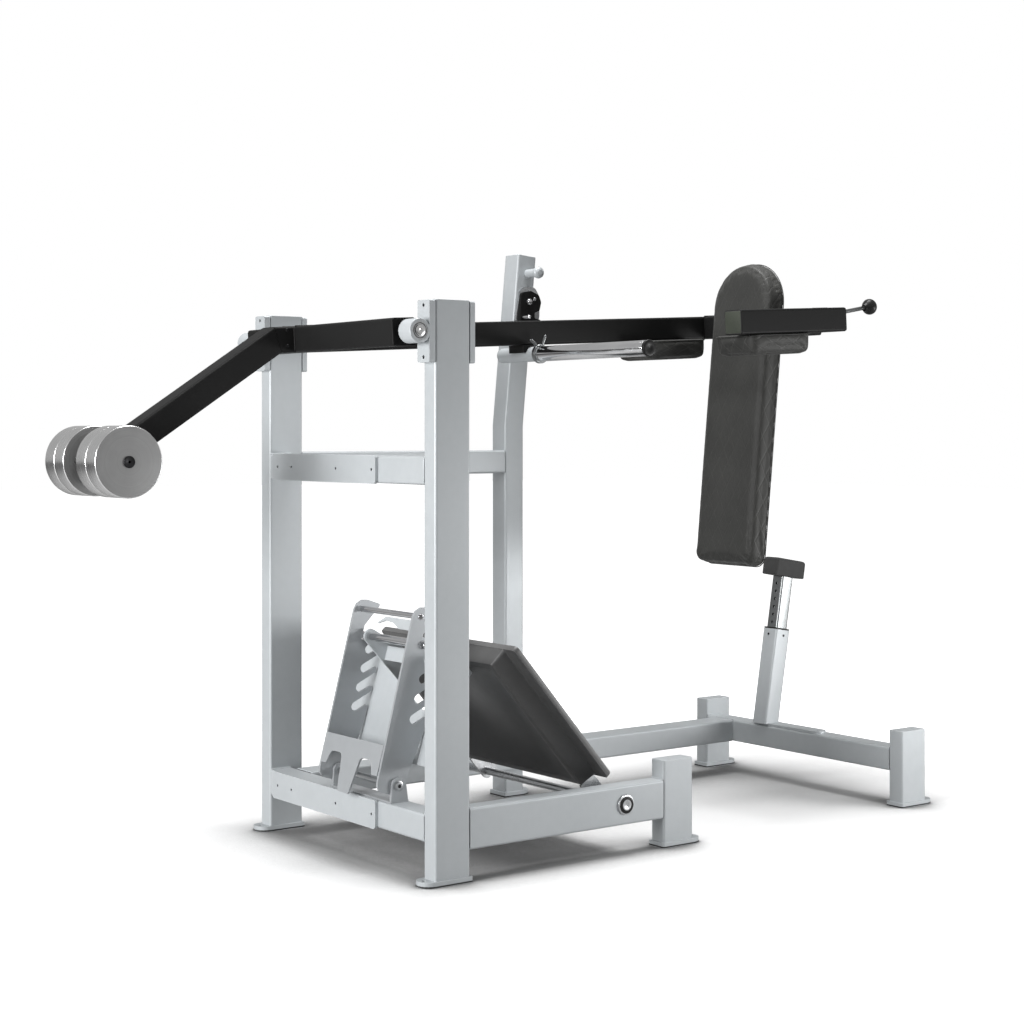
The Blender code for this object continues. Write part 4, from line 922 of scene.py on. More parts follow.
@dataclass
class PlateHorn:
    """The horn for weight plates: chrome sleeve, painted root, end caps and the spring clip."""

    x: float = HORN_X
    z: float = HORN_Z
    radius: float = 0.025
    near: float = -0.471

    def tube(self) -> None:
        """Builds the sleeve, the root beyond the clip and both ends."""
        r = self.radius
        origin = (self.x, 0, self.z)
        sleeve = [(r - 0.004, -0.4605), (r - 0.0006, -0.4605), (r, -0.4597), (r, 0.0722), (r - 0.0008, 0.073),
                  (r - 0.004, 0.073)]
        Form().turn(sleeve, origin, Y, 64, True).piece("horn_sleeve", Place.ARM, [CHROME], "plate_horn")
        root = [(r - 0.004, 0.0735), (r - 0.0012, 0.0735), (r - 0.0004, 0.0745), (r - 0.0004, 0.287),
                (r - 0.004, 0.287)]
        Form().turn(root, origin, Y, 64, True).piece("horn_root", Place.ARM, [SILVER])
        dome = [(r - 0.0045, 0.281), (r - 0.0045, 0.2873)]
        dome += [(r * math.cos(turn) ** 0.7, 0.2873 + 0.0097 * math.sin(turn))
                 for turn in (math.radians(9 * step) for step in range(10))]
        Form().turn(dome, origin, Y, 64).piece("horn_far_cap", Place.ARM, [CHROME], sharp=60)
        cap = [(r - 0.0045, 0.0200), (r - 0.0045, 0.0102), (r + 0.0005, 0.0102), (r + 0.0009, 0.0092),
               (r + 0.0009, 0.0022), (r - 0.0002, 0.0006), (r - 0.002, 0.0), (0.0060, 0.0), (0.0050, 0.0008),
               (0.0010, 0.0008)]
        form = Form().turn(cap, (self.x, self.near, self.z), Y, 64)
        form.piece("horn_near_cap", Place.ARM, [PLASTIC], sharp=50)

    def clip(self) -> None:
        """Builds the clip: a ring, two wire grips and a thumb lever."""
        inner, half = self.radius + 0.0004, 0.007
        ring = [(inner, -half + 0.0008), (inner + 0.0008, -half), (inner + 0.0048, -half),
                (inner + 0.006, -half + 0.0014), (inner + 0.006, half - 0.0014), (inner + 0.0048, half),
                (inner + 0.0008, half), (inner, half - 0.0008)]
        Form().turn(ring, (0, 0, 0), Y, 56, True).piece("clip_ring", Place.CLIP, [DARK_ZINC], "spring_clip")
        grips = Form()
        for y in (-0.0042, 0.0042):
            start, bend, end = (Vector((x, y, z)) for x, z in ((-0.0150, 0.0265), (-0.0200, 0.0350), (-0.0345, 0.0465)))
            path = [start, start.lerp(bend, 0.5), bend, bend.lerp(end, 0.25), bend.lerp(end, 0.6), end]
            grips.wire(path, 0.0032, 12)
            grips.turn([(0.0020, -0.0012), (0.0033, -0.0004), (0.0033, 0.0010), (0.0018, 0.0021)], end, end - bend, 12)
        lever = [(0.0042, 0.0), (0.0046, 0.006), (0.0048, 0.030), (0.0044, 0.0345), (0.0026, 0.0372)]
        base, tip = Vector((0.0100, 0, 0.0270)), Vector((0.0240, -0.004, 0.0640))
        grips.turn(lever, base, tip - base, 20)
        grips.piece("clip_grips", Place.CLIP, [DARK_ZINC], sharp=50)

    def build(self) -> None:
        """Builds the horn and its clip."""
        self.tube()
        self.clip()


@dataclass
class ReleaseHandle:
    """The pull rod with its knob, and the guide that it leaves the near beam through."""

    rod_radius: float = 0.0068
    knob_radius: float = 0.0266
    knob_centre: float = 0.1575
    guide_at: tuple[float, float, float] = (1.7213, NEAR_BEAM_Y, 0.022)

    def build(self) -> None:
        """Builds the rod, the knob and the guide."""
        r = self.rod_radius
        rod = [(r - 0.001, -0.079), (r, -0.078), (r, 0.131), (r - 0.001, 0.133)]
        Form().turn(rod, (0, 0, 0), X).piece("release_rod", Place.ROD, [DARK_ZINC])
        knob = [(0.0085, 0.1305), (0.0110, 0.1300), (0.0122, 0.1315), (0.0126, 0.1345)]
        for step in range(1, 16):
            turn = math.radians(-62 + 152 * step / 15)
            knob.append((self.knob_radius * math.cos(turn) + 0.0004,
                         self.knob_centre + (self.knob_radius - 0.0032) * math.sin(turn)))
        Form().turn(knob, (0, 0, 0), X, 56).piece("release_knob", Place.ROD, [PLASTIC], "release_handle", 60)
        guide = [(0.0074, -0.0015), (0.0125, -0.0015), (0.0128, 0.0012), (0.0112, 0.0026), (0.0080, 0.0026),
                 (0.0074, 0.0018)]
        form = Form().turn(guide, self.guide_at, X, 36, True)
        form.piece("release_guide", Place.ARM, [PLASTIC])


class Quilting:
    """The crossing lines pressed into the covers."""

    attribute: str = "quilt"
    across_pitch: float = 0.052
    along_pitch: float = 0.088
    depth: float = 0.0007
    half_width: float = 0.11

    @classmethod
    def phases(cls, across: float, along: float) -> tuple[float, float]:
        """Where a point of the unrolled cover is among the lines of each direction."""
        return across / cls.across_pitch + along / cls.along_pitch, across / cls.across_pitch - along / cls.along_pitch

    @classmethod
    def groove(cls, phases: Sequence[float]) -> float:
        """How deep the nearest line is pressed at a point."""
        nearest = min(0.5 - abs(phase % 1.0 - 0.5) for phase in phases)
        share = max(0.0, 1 - nearest / cls.half_width)
        return cls.depth * share * share * (3 - 2 * share)


@dataclass
class Cushion:
    """A padded piece: foam on a flat back, a cover swollen by a cloth simulation, and pressed lines."""

    name: str
    node: str
    place: Place
    base: Vector
    across: Vector
    up: Vector
    outline: Callable[[float], list[tuple[float, float]]]
    thickness: float
    voxel: float = 0.005
    largest_move: float = 0.006
    crown: float = 0.004
    shrink: float = 0.0028
    fill: float = 0.85
    pressure: float = 4.0
    frames: int = 20
    plain_height: float = 0.006
    cord_radius: float = 0.0017
    cord_height: float = 0.0042
    cord_outset: float = 0.0016
    outward: Callable[[float, float], tuple[float, float]] | None = None

    @property
    def out(self) -> Vector:
        """The direction from the flat back to the crowned face."""
        return self.across.cross(self.up).normalized()

    def local(self, point: Vector) -> tuple[float, float, float]:
        """A point of the cushion's frame as across, up and height above its back."""
        offset = point - self.base
        return offset.dot(self.across), offset.dot(self.up), offset.dot(self.out)

    def core(self) -> bpy.types.Object:
        """Builds the foam's form, a little smaller than the finished cushion."""
        depth = self.thickness - self.shrink
        levels = [(0.003, 0.0), (0.0005, 0.003), (0.0, 0.010), (0.0, depth * 0.55), (0.0012, depth * 0.80),
                  (0.0045, depth * 0.93), (0.0105, depth)]
        rings = [[self.base + self.across * x + self.up * y + self.out * height
                  for x, y in self.outline(self.shrink + inset)] for inset, height in levels]
        return Form().skin(rings).object(self.name, self.place, [COVER])

    def swell(self, piece: bpy.types.Object) -> None:
        """Blows the cover up with a short cloth simulation and keeps its back flat.

        Args:
            piece: The remeshed cushion.
        """
        into = self.place.matrix.inverted()
        mesh = piece.data
        heights = [self.local(into @ vert.co)[2] for vert in mesh.vertices]
        pins = piece.vertex_groups.new(name="back")
        pins.add([index for index, height in enumerate(heights) if height < self.voxel * 0.9], 1.0, "REPLACE")
        cloth = piece.modifiers.new("Cover", "CLOTH")
        cloth.settings.use_pressure = True
        cloth.settings.uniform_pressure_force = self.pressure
        cloth.settings.vertex_group_mass = pins.name
        cloth.settings.effector_weights.gravity = 0.0
        cloth.settings.quality = 4
        scene = bpy.context.scene
        for frame in range(1, self.frames + 1):
            scene.frame_set(frame)
        depsgraph = bpy.context.evaluated_depsgraph_get()
        swollen = [vert.co.copy() for vert in piece.evaluated_get(depsgraph).data.vertices]
        piece.modifiers.remove(cloth)
        scene.frame_set(1)
        out = self.place.matrix.to_3x3() @ self.out
        for vert, target, height in zip(mesh.vertices, swollen, heights):
            move = target - vert.co
            if move.length > self.largest_move:
                move *= self.largest_move / move.length
            room = self.thickness + self.crown - height
            rise = move.dot(out)
            if rise > room:
                move -= out * (rise - room)
            vert.co += move
        piece.vertex_groups.clear()

    def quilt(self, piece: bpy.types.Object) -> None:
        """Presses the crossing lines in and notes each point's place among them.

        The lines stop short of the back, which stays plain.

        Args:
            piece: The cushion with its final faces.
        """
        into = self.place.matrix.inverted()
        mesh = piece.data
        normals = [vert.normal.copy() for vert in mesh.vertices]
        notes = mesh.attributes.new(Quilting.attribute, "FLOAT_VECTOR", "POINT")
        for vert, normal, note in zip(mesh.vertices, normals, notes.data):
            x, y, height = self.local(into @ vert.co)
            facing = (into.to_3x3() @ normal).dot(self.out)
            side = min(1.0, max(0.0, 1.25 - abs(facing) * 1.5))
            drop = max(0.0, self.thickness - height)
            side_x, side_y = self.outward(x, y) if self.outward else (0.0, 0.0)
            phases = Quilting.phases(x + side_x * drop, y + side_y * drop)
            if height > self.plain_height:
                vert.co -= normal * Quilting.groove(phases) * (0.3 + 0.7 * side)
            note.vector = (*phases, side)

    def seam(self) -> None:
        """Builds the cord sewn into the seam between the cover's side band and its back."""
        points = [self.base + self.across * x + self.up * y + self.out * self.cord_height
                  for x, y in self.outline(self.shrink - self.cord_outset)]
        form = Form().wire(points, self.cord_radius, 8, True)
        form.piece(f"{self.name}_seam_cord", self.place, [COVER], sharp=60)

    def build(self) -> None:
        """Builds the cushion and its seam."""
        piece = self.core()
        self.apply(piece, "REMESH", {"mode": "VOXEL", "voxel_size": self.voxel})
        self.swell(piece)
        self.apply(piece, "SUBSURF", {"levels": 1, "render_levels": 1})
        piece.data.shade_smooth()
        self.quilt(piece)
        settle(piece, self.place.body, self.node)
        self.seam()

    @staticmethod
    def apply(piece: bpy.types.Object, kind: str, settings: dict) -> None:
        """Adds a modifier and keeps its result as the piece's mesh.

        Args:
            piece: The object.
            kind: The modifier's type.
            settings: The modifier's attributes.
        """
        change = piece.modifiers.new(kind.title(), kind)
        for name, value in settings.items():
            setattr(change, name, value)
        depsgraph = bpy.context.evaluated_depsgraph_get()
        result = bpy.data.meshes.new_from_object(piece.evaluated_get(depsgraph))
        piece.modifiers.remove(change)
        if not result.materials:
            result.materials.append(COVER.material())
        piece.data = result


@dataclass
class Upholstered:
    """The back pad and the two shoulder pads."""

    back_width: float = 0.300
    back_length: float = 1.040
    back_thickness: float = 0.064
    back_corner: float = 0.040
    shoulder_length: float = 0.267
    shoulder_width: float = 0.190
    shoulder_thickness: float = 0.065
    shoulder_corner: float = 0.026
    shoulder_front: float = 1.558
    shoulder_base: float = -0.0403
    neck_half_width: float = 0.158
    least_corner: float = 0.004
    user_y: float = USER_Y

    def back_outline(self, shrink: float) -> list[tuple[float, float]]:
        """The back pad's outline: small lower corners and a half-round head.

        Args:
            shrink: How far it is drawn in.

        Returns:
            Its points.
        """
        half = self.back_width / 2 - shrink
        neck = self.back_length - self.back_width / 2
        radius = max(self.back_corner - shrink, self.least_corner)
        lower = rounded([(half, neck, 0), (-half, neck, 0), (-half, shrink, radius), (half, shrink, radius)], 8)[2:]
        arc = [(half * math.cos(math.pi * step / 36), neck + half * math.sin(math.pi * step / 36))
               for step in range(37)]
        return arc + lower

    def back_outward(self, x: float, y: float) -> tuple[float, float]:
        """Which way the back pad's side band faces near a point of its outline."""
        neck = self.back_length - self.back_width / 2
        if y > neck:
            length = max(math.hypot(x, y - neck), 0.001)
            return x / length, (y - neck) / length
        if y < 0.030 and y < self.back_width / 2 - abs(x):
            return 0.0, -1.0
        return math.copysign(1.0, x), 0.0

    def shoulder_outline(self, shrink: float) -> list[tuple[float, float]]:
        """A shoulder pad's outline, drawn in by an amount."""
        return rectangle(self.shoulder_width - 2 * shrink, self.shoulder_length - 2 * shrink,
                         max(self.shoulder_corner - shrink, self.least_corner), 8)

    def shoulder_outward(self, x: float, y: float) -> tuple[float, float]:
        """Which way a shoulder pad's side band faces near a point of its outline."""
        if self.shoulder_width / 2 - abs(x) < self.shoulder_length / 2 - abs(y):
            return math.copysign(1.0, x), 0.0
        return 0.0, math.copysign(1.0, y)

    def build(self) -> None:
        """Builds the three cushions."""
        Cushion("back_cushion", "back_pad", Place.PAD, Vector((self.back_thickness, 0, 0)), -Y, Z,
                self.back_outline, self.back_thickness, outward=self.back_outward).build()
        middle = self.shoulder_front - self.shoulder_length / 2
        for title, side in (("near", -1), ("far", 1)):
            y = self.user_y + side * (self.neck_half_width + self.shoulder_width / 2)
            base = Vector((middle, y, self.shoulder_base))
            Cushion(f"{title}_shoulder_cushion", f"{title}_shoulder_pad", Place.ARM, base, Y, X,
                    self.shoulder_outline, self.shoulder_thickness, voxel=0.004, largest_move=0.005,
                    outward=self.shoulder_outward).build()


@dataclass
class Footplate:
    """The tray, a tread box over a narrower pan, its ribbed tread mat, and the near end of its hinge."""

    top: float = -0.610
    bottom: float = -0.062
    near: float = -0.434
    far: float = 0.290
    under: float = -0.019
    step: float = 0.037
    tread: float = 0.058
    mat_margin: float = 0.022
    rib_pitch: float = 0.0145
    mat_edge: float = 0.0006
    hinge_end_at: tuple[float, float, float] = (HINGE_X, -0.5045, HINGE_Z)

    def tray(self) -> None:
        """Builds the tray."""
        under, step, tread = self.under, self.step, self.tread
        # Insets at the rear, the front and both sides, the height, and the radius of the corners.
        levels = [(0.0395, 0.0460, 0.0910, under + 0.0022, 0.010), (0.0375, 0.0440, 0.0890, under + 0.0016, 0.010),
                  (0.0340, 0.0405, 0.0855, under + 0.0002, 0.010), (0.0320, 0.0385, 0.0835, under, 0.010),
                  (0.0140, 0.0205, 0.0655, under, 0.007), (0.0115, 0.0180, 0.0630, under + 0.0006, 0.008),
                  (0.0104, 0.0164, 0.0614, under + 0.0026, 0.009), (0.0020, 0.0086, 0.0516, step - 0.0024, 0.011),
                  (0.0017, 0.0070, 0.0500, step - 0.0006, 0.011), (0.0014, 0.0052, 0.0480, step, 0.012),
                  (0.0012, 0.0012, 0.0012, step, 0.013), (0.0003, 0.0003, 0.0003, step + 0.0006, 0.014),
                  (0.0, 0.0, 0.0, step + 0.0018, 0.014), (0.0, 0.0, 0.0, tread - 0.0060, 0.014),
                  (0.0012, 0.0012, 0.0012, tread - 0.0026, 0.014), (0.0045, 0.0045, 0.0045, tread - 0.0018, 0.012)]
        rings = []
        for rear, front, side, height, radius in levels:
            length, width = self.bottom - front - self.top - rear, self.far - self.near - 2 * side
            centre = Vector(((self.top + rear + self.bottom - front) / 2, (self.near + self.far) / 2, height))
            rings.append([centre + Vector((x, y, 0)) for x, y in rectangle(length, width, radius)])
        # The three bands of the tread box's side take the lit copy of the tray's paint.
        form = Form().skin(rings, finishes=[0] * 11 + [1] * 3 + [0])
        form.piece("pressed_tray", Place.FOOTPLATE, [DARK_TRAY, LIT_TRAY_BAND], "footplate_tray", 30)

    def mat(self) -> None:
        """Builds the rubber mat with ribs across the tread."""
        start, end = self.top + self.mat_margin, self.bottom - self.mat_margin
        low, high = self.tread - 0.0040, self.tread - 0.0012
        count = int((end - start - 0.010) / self.rib_pitch)
        edge = self.mat_edge
        profile = [(start, low), (start, high - edge), (start + edge, high)]
        first = start + (end - start - (count - 1) * self.rib_pitch) / 2
        for index in range(count):
            x = first + index * self.rib_pitch
            profile += [(x - 0.0034, high), (x - 0.0027, self.tread - 0.0003), (x - 0.0021, self.tread),
                        (x + 0.0021, self.tread), (x + 0.0027, self.tread - 0.0003), (x + 0.0034, high)]
        profile += [(end - edge, high), (end, high - edge), (end, low)]
        stations = [self.near + self.mat_margin, self.near + self.mat_margin + edge,
                    self.far - self.mat_margin - edge, self.far - self.mat_margin]
        rings = []
        for index, y in enumerate(stations):
            drop = edge if index in (0, 3) else 0.0
            rings.append([Vector((x, y, z - (drop if z > low else 0.0))) for x, z in profile])
        Form().skin(rings).piece("tread_mat", Place.FOOTPLATE, [TREAD], sharp=30)

    def hinge_end(self) -> None:
        """Builds the seal and the cap over the hinge shaft's near end."""
        seal = [(0.0255, 0.0), (0.0262, 0.0003), (0.0262, 0.0008), (0.0250, 0.0013), (0.0180, 0.0013), (0.0172, 0.0006)]
        Form().turn(seal, self.hinge_end_at, -Y, 56).piece("hinge_seal", Place.MACHINE, [PLASTIC])
        cap = [(0.0165, 0.0005), (0.0165, 0.0022), (0.0155, 0.0030), (0.0040, 0.0030), (0.0028, 0.0022),
               (0.0026, 0.0016)]
        Form().turn(cap, self.hinge_end_at, -Y, 56).piece("hinge_cap", Place.MACHINE, [ZINC])

    def build(self) -> None:
        """Builds the tray, the mat and the hinge's end."""
        self.tray()
        self.mat()
        self.hinge_end()


@dataclass
class PivotBearings:
    """The sealed bearings in the two housings, and the turned ends of the axle."""

    outer: float = 0.026
    axle: float = 0.0163
    half: float = 0.030
    recess: float = 0.0012
    post_y: float = POST_Y
    axle_end: float = 0.4995
    height: float = PIVOT_HEIGHT

    def build(self) -> None:
        """Builds a bearing and an axle end on each side."""
        for title, side in (("near", -1), ("far", 1)):
            face = self.half - self.recess
            ring = [(self.axle, -self.half), (self.outer, -self.half), (self.outer, face - 0.0005),
                    (self.outer - 0.0006, face), (self.outer - 0.0032, face), (self.outer - 0.0036, face - 0.0012),
                    (self.axle + 0.0034, face - 0.0012), (self.axle + 0.0030, face), (self.axle + 0.0005, face),
                    (self.axle, face - 0.0005)]
            bands = [0, 0, 0, 0, 1, 1, 1, 0, 0, 0]
            form = Form().turn(ring, (0, side * self.post_y, self.height), Y * side, 64, True, bands)
            form.piece(f"{title}_sealed_bearing", Place.MACHINE, [ZINC, SEAL], f"{title}_bearing")
            end = [(0.0158, -0.0004), (0.0158, 0.0004), (0.0148, 0.0011), (0.0034, 0.0011), (0.0016, 0.0002)]
            form = Form().turn(end, (0, side * self.axle_end, 0), Y * side, 56)
            form.piece(f"{title}_axle_end", Place.ARM, [AXLE_STEEL])


@dataclass
class Hardware:
    """Screws, plugs, foot pads and small caps of the frame, the arm, the stop and the latch."""

    joint_holes: tuple[float, ...] = (0.372, 0.287, 0.021, -0.180)
    post_y: float = POST_Y
    front_y: float = 0.4873
    catch_y: float = 0.4785
    beam_y: float = NEAR_BEAM_Y
    pivot_height: float = PIVOT_HEIGHT
    housing_screw_rise: float = 0.073
    foot_rim: float = 0.006
    foot_corner: float = 0.006
    foot_tongue: float = 0.038
    foot_proud: float = 0.0006
    ladder_bolt_at: tuple[float, float, float] = (0.085, -0.2585, 0.246)
    ladder_bolt_head: float = 0.0060

    def screws(self, name: str, place: Place, spots: Iterable[tuple], size: tuple[float, float, float]) -> None:
        """Builds a group of screw heads as one piece.

        Args:
            name: The piece's name.
            place: The frame that they are in.
            spots: Where each sits, and out of which face.
            size: The heads' radius, how far they stand out and how far they are sunk in.
        """
        form = Form()
        for at, axis in spots:
            form.screw(at, axis, *size)
        form.piece(name, place, [BLACK_OXIDE])

    def frame_screws(self) -> None:
        """Builds the sunk screws of the rear joint plates, the bearing housings and the clamp plates."""
        for title, z in (("lower", 0.157), ("upper", 1.167)):
            self.screws(f"rear_{title}_joint_screws", Place.MACHINE, [((0.0407, y, z), -X) for y in self.joint_holes],
                        (0.0042, -0.0024, 0.007))
        for title, side in (("near", -1), ("far", 1)):
            form = Form()
            for z in (self.pivot_height - self.housing_screw_rise, self.pivot_height + self.housing_screw_rise):
                form.screw((0.0307, side * self.post_y, z), -X, 0.0052, -0.0030, 0.012)
                form.screw((0.1873, side * self.post_y, z), X, 0.0052, -0.0030, 0.010)
            form.piece(f"{title}_housing_screws", Place.MACHINE, [BLACK_OXIDE])

    def foot_pads(self) -> None:
        """Builds the thin rubber pads that show round each foot."""
        feet = {
            "near_upright_foot_pad": (0.051, 0.120, -self.post_y, 0.060, -1),
            "far_upright_foot_pad": (0.051, 0.120, self.post_y, 0.060, -1),
            "near_mid_foot_pad": (0.8985, 0.120, -self.post_y, 0.060, 1),
            "near_front_foot_pad": (1.954, 0.120, -self.front_y, 0.060, 1),
            "far_front_foot_pad": (1.954, 0.120, self.front_y, 0.060, 1),
            "catch_post_foot_pad": (0.986, 0.080, self.catch_y, 0.080, 1),
        }
        rim, tongue, proud = self.foot_rim, self.foot_tongue, self.foot_proud
        for name, (x, depth, y, width, reach) in feet.items():
            half = width / 2 + rim
            flat, nose = (x + depth + rim, x - tongue) if reach < 0 else (x - rim, x + depth + tongue)
            low, high = min(flat, nose) - proud, max(flat, nose) + proud
            blunt, round_end = self.foot_corner + proud, half - 0.001
            left, right = (round_end, blunt) if reach < 0 else (blunt, round_end)
            corners = [(low, -half - proud, left), (high, -half - proud, right), (high, half + proud, right),
                       (low, half + proud, left)]
            outline = [(px, py + y) for px, py in rounded(corners, 8)]
            rings = []
            for shrink, z in ((0.0016, 0.0002), (0.0003, 0.0010), (0.0, 0.0030), (0.0003, 0.0052), (0.0012, 0.0060)):
                rings.append([Vector((px, py, z)) for px, py in drawn_in(outline, shrink)])
            Form().skin(rings).piece(name, Place.MACHINE, [RUBBER], sharp=60)

    def anchors(self) -> None:
        """Builds the anchor bolts' heads sunk in the feet's tongues."""
        spots = ((0.032, -self.post_y), (0.032, self.post_y), (1.0375, -self.post_y), (2.093, -self.front_y),
                 (2.093, self.front_y), (1.085, self.catch_y))
        self.screws("anchor_bolts", Place.MACHINE, [((x, y, 0.017), Z) for x, y in spots], (0.0062, -0.0030, 0.009))

    def arm_screws(self) -> None:
        """Builds the small screws beside the main beam's bend and the near beam's end plug."""
        spots = [((-0.065, y, z), axis) for z in (-0.0190, 0.0290) for y, axis in ((0.125, -Y), (0.205, Y))]
        self.screws("bend_screws", Place.ARM, spots, (0.0052, 0.0012, 0.001))
        plug = Form().prism(rectangle(0.0705, 0.0705, 0.004, 5), (1.2405, self.beam_y, 0), -Y, Z, 0.0014, 0.0006)
        plug.piece("near_beam_end_plug", Place.ARM, [PLUG], sharp=60)
        recess = Form().prism(rectangle(0.0735, 0.0735, 0.005, 5), (1.2409, self.beam_y, 0), -Y, Z, 0.0006, 0.0002)
        recess.piece("near_beam_plug_gasket", Place.ARM, [RUBBER], sharp=60)

    def stop_screws(self) -> None:
        """Builds the guide screws near the top of the stop's outer tube."""
        spots = [((-0.035, 0.004, 0.322), -X), ((0.004, -0.035, 0.322), -Y), ((0.004, 0.035, 0.322), Y)]
        self.screws("guide_screws", Place.STOP, spots, (0.0046, 0.0014, 0.001))

    def latch_pins(self) -> None:
        """Builds the pivot's shining cap and a rivet on the latch."""
        form = Form().turn([(0.0088, 0.0), (0.0088, 0.0016), (0.0070, 0.0030), (0.0030, 0.0036)],
                           (0, -0.0176, 0), -Y, 32)
        settle(form.object("latch_pivot_cap", Place.LATCH, [CHROME], 60), Body.FRAME)
        form = Form().turn([(0.0060, 0.0), (0.0060, 0.0010), (0.0045, 0.0022), (0.0018, 0.0026)],
                           (0.026, -0.0100, 0.010), -Y, 24)
        form.piece("latch_rivet", Place.LATCH, [ZINC], sharp=60)

    def ladder_bolt(self) -> None:
        """Builds the washer and socket of the ladder's pivot bolt."""
        x, near, z = self.ladder_bolt_at
        washer = [(0.0148, 0.0), (0.0152, 0.0004), (0.0152, 0.0014), (0.0146, 0.0018), (0.0127, 0.0018), (0.0127, 0.0)]
        form = Form().turn(washer, (x, near, z), -Y, 48, True)
        form.piece("ladder_bolt_washer", Place.MACHINE, [ZINC])
        socket = [(0.0062, 0.0), (0.0064, 0.0003), (0.0060, 0.0006)]
        form = Form().turn(socket, (x, near - self.ladder_bolt_head, z), -Y, 6)
        form.piece("ladder_bolt_socket", Place.MACHINE, [BLACK_OXIDE])

    def build(self) -> None:
        """Builds all of the small pieces."""
        self.frame_screws()
        self.foot_pads()
        self.anchors()
        self.arm_screws()
        self.stop_screws()
        self.latch_pins()
        self.ladder_bolt()


@dataclass
class WeldBeads:
    """Fillet beads where the frame's tubes meet, with the ripple of the weld pool."""

    radius: float = 0.0030
    ripple: float = 0.0006
    ripple_pitch: float = 0.0052
    end_share: float = 0.6

    def bead(self, form: Form, start: Vector, end: Vector) -> None:
        """Adds a rippled bead along a straight line.

        Args:
            form: What it is added to.
            start: One end of the line.
            end: Its other end.
        """
        count = max(2, int((end - start).length / (self.ripple_pitch / 3)))
        path, sizes = [], []
        travelled = 0.0
        for step in range(count):
            path.append(start.lerp(end, step / count))
            travelled += (end - start).length / count
            sizes.append(self.radius + self.ripple * abs(math.sin(math.pi * travelled / self.ripple_pitch)))
        sizes[0] = self.radius * self.end_share
        form.wire([*path, end], [*sizes, self.radius * self.end_share], 8)

    def beads(self, name: str, place: Place, finish: Finish, lines: Iterable[tuple]) -> None:
        """Builds a group of beads as one piece.

        Args:
            name: The piece's name.
            place: The frame that they are in.
            finish: The paint over them.
            lines: The two ends of each.
        """
        form = Form()
        for start, end in lines:
            self.bead(form, Vector(start), Vector(end))
        form.piece(name, place, [finish], sharp=80)

    def build(self) -> None:
        """Builds the beads of the frame's T joints, of the arm's joints and round its mitred bend."""
        lines = []
        for z in (0.157, 1.167):
            low, high = z - 0.038, z + 0.038
            for y in (-0.4383, 0.4383):
                lines += [((0.131, y, low), (0.131, y, high)), ((0.054, y, high + 0.002), (0.128, y, high + 0.002))]
        for x in (0.1712, 0.8984):
            lines += [((x, -0.4385, 0.094), (x, -0.4385, 0.206)), ((x, -0.4955, 0.210), (x, -0.4415, 0.210))]
        for y in (-0.4571, 0.4571):
            lines += [((1.957, y, 0.199), (2.031, y, 0.199)), ((2.034, y, 0.123), (2.034, y, 0.195))]
        lines += [((1.9538, 0.313, 0.199), (1.9538, 0.407, 0.199)), ((1.9538, 0.310, 0.123), (1.9538, 0.310, 0.195))]
        self.beads("frame_weld_beads", Place.MACHINE, SILVER, lines)
        lines = []
        for y in (0.1248, 0.2052):
            lines += [((-0.037, y, 0.040), (0.037, y, 0.040)), ((-0.040, y, -0.036), (-0.040, y, 0.036)),
                      ((0.040, y, -0.036), (0.040, y, 0.036))]
        for y in (-0.4057, 0.1247):
            lines += [((1.641, y, 0.040), (1.715, y, 0.040)), ((1.718, y, -0.036), (1.718, y, 0.036))]
        self.beads("arm_weld_beads", Place.ARM, BLACK, lines)


@dataclass
class Lamp:
    """A rectangular soft light."""

    name: str
    at: tuple[float, float, float]
    towards: tuple[float, float, float]
    size: tuple[float, float]
    watts: float

    def build(self) -> None:
        """Hangs the lamp."""
        data = bpy.data.lights.new(self.name, "AREA")
        data.shape = "RECTANGLE"
        data.size, data.size_y = self.size
        data.energy = self.watts
        made = bpy.data.objects.new(self.name, data)
        made.location = self.at
        made.rotation_euler = (Vector(self.towards) - Vector(self.at)).to_track_quat("-Z", "Y").to_euler()
        bpy.context.scene.collection.objects.link(made)


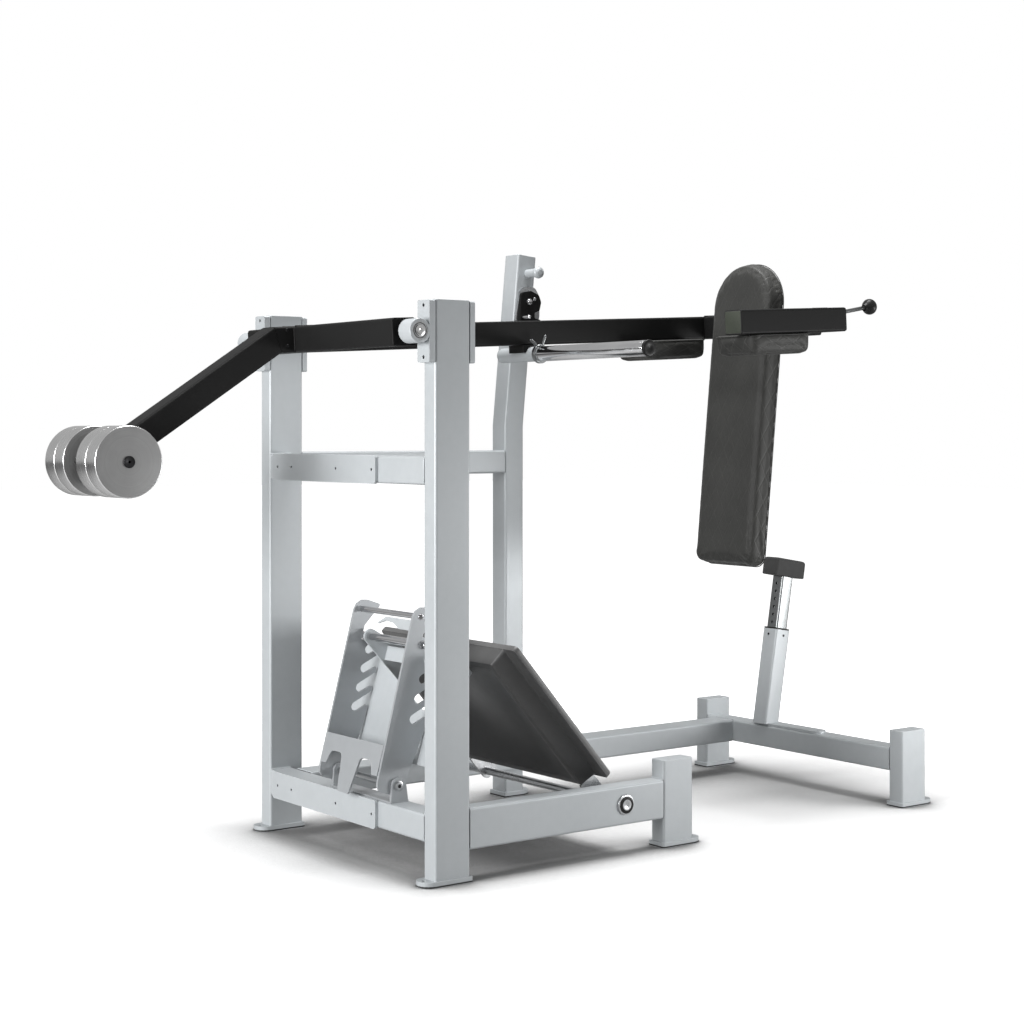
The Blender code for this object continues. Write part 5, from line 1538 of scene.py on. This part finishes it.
@dataclass
class Studio:
    """The white floor, the plain world, the soft lamps and the camera."""

    camera_at: tuple[float, float, float] = (-3.66877, -4.8610, 1.2765)
    camera_turn: float = -36.65
    lens: float = 66.28
    shift: float = -0.078
    fill: float = 0.18
    mirrored: float = 0.45
    lamps: tuple[Lamp, ...] = (
        Lamp("overhead_softbox", (0.2, 0.0, 5.4), (0.2, 0.1, 0.0), (2.6, 1.8), 270.0),
        Lamp("rear_softbox", (-5.0, -0.4, 1.7), (-0.6, 0.0, 0.7), (2.0, 1.8), 265.0),
        Lamp("near_softbox", (2.9, -2.8, 0.65), (1.0, -0.4, 0.2), (2.0, 1.0), 80.0),
    )

    def floor(self) -> None:
        """Lays the floor."""
        mesh = bpy.data.meshes.new("studio_floor")
        mesh.from_pydata([(-30, -25, 0), (30, -25, 0), (30, 35, 0), (-30, 35, 0)], [], [(0, 1, 2, 3)])
        mesh.materials.append(Paper("studio_floor", None).material())
        made = bpy.data.objects.new("studio_floor", mesh)
        bpy.context.scene.collection.objects.link(made)

    def world(self) -> None:
        """Makes the world white to the camera, and a plain fill to everything else."""
        world = bpy.data.worlds.new("studio_world")
        world.use_nodes = True
        bpy.context.scene.world = world
        graph = Graph(world.node_tree)
        seen = graph.seen()
        level = graph.ray("Glossy") * (self.mirrored - self.fill) + self.fill
        fill = graph.node("Background", {}, {"Color": (1, 1, 1, 1), "Strength": level})
        white = graph.node("Background", {}, {"Color": (1, 1, 1, 1), "Strength": 1.0})
        both = graph.node("MixShader", {}, {0: seen, 1: fill.outputs[0], 2: white.outputs[0]})
        graph.node("OutputWorld", {}, {"Surface": both.outputs[0]})

    def camera(self) -> None:
        """Sets the camera at the photograph's viewpoint."""
        data = bpy.data.cameras.new("studio_camera")
        data.lens = self.lens
        data.sensor_width = 36.0
        data.shift_y = self.shift
        made = bpy.data.objects.new("studio_camera", data)
        made.location = self.camera_at
        made.rotation_euler = (math.radians(90), 0, math.radians(self.camera_turn))
        bpy.context.scene.collection.objects.link(made)
        bpy.context.scene.camera = made

    def build(self) -> None:
        """Builds the studio."""
        self.floor()
        self.world()
        self.camera()
        for lamp in self.lamps:
            lamp.build()
        bpy.context.scene.view_settings.view_transform = "Standard"


def clear_scene() -> None:
    """Removes the objects that a new file starts with."""
    for obj in list(bpy.data.objects):
        bpy.data.objects.remove(obj, do_unlink=True)


def main() -> None:
    """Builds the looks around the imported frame."""
    logging.basicConfig(level=logging.INFO, format="%(name)s: %(message)s")
    clear_scene()
    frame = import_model()
    Studio().build()
    Counterweights().build()
    PlateHorn().build()
    ReleaseHandle().build()
    Upholstered().build()
    Footplate().build()
    PivotBearings().build()
    Hardware().build()
    WeldBeads().build()
    painted = (SILVER, BLACK, GREY, DISC_FACE, CHROME, ZINC, PLASTIC, RUBBER, COVER)
    special = {"ladder_bracket": GREY, "stop_inner_tube": DARK_ZINC}
    PackedNodes({finish.slot: finish for finish in painted}, special).dress(frame["nodes"], frame["record"])


if __name__ == "__main__":
    main()
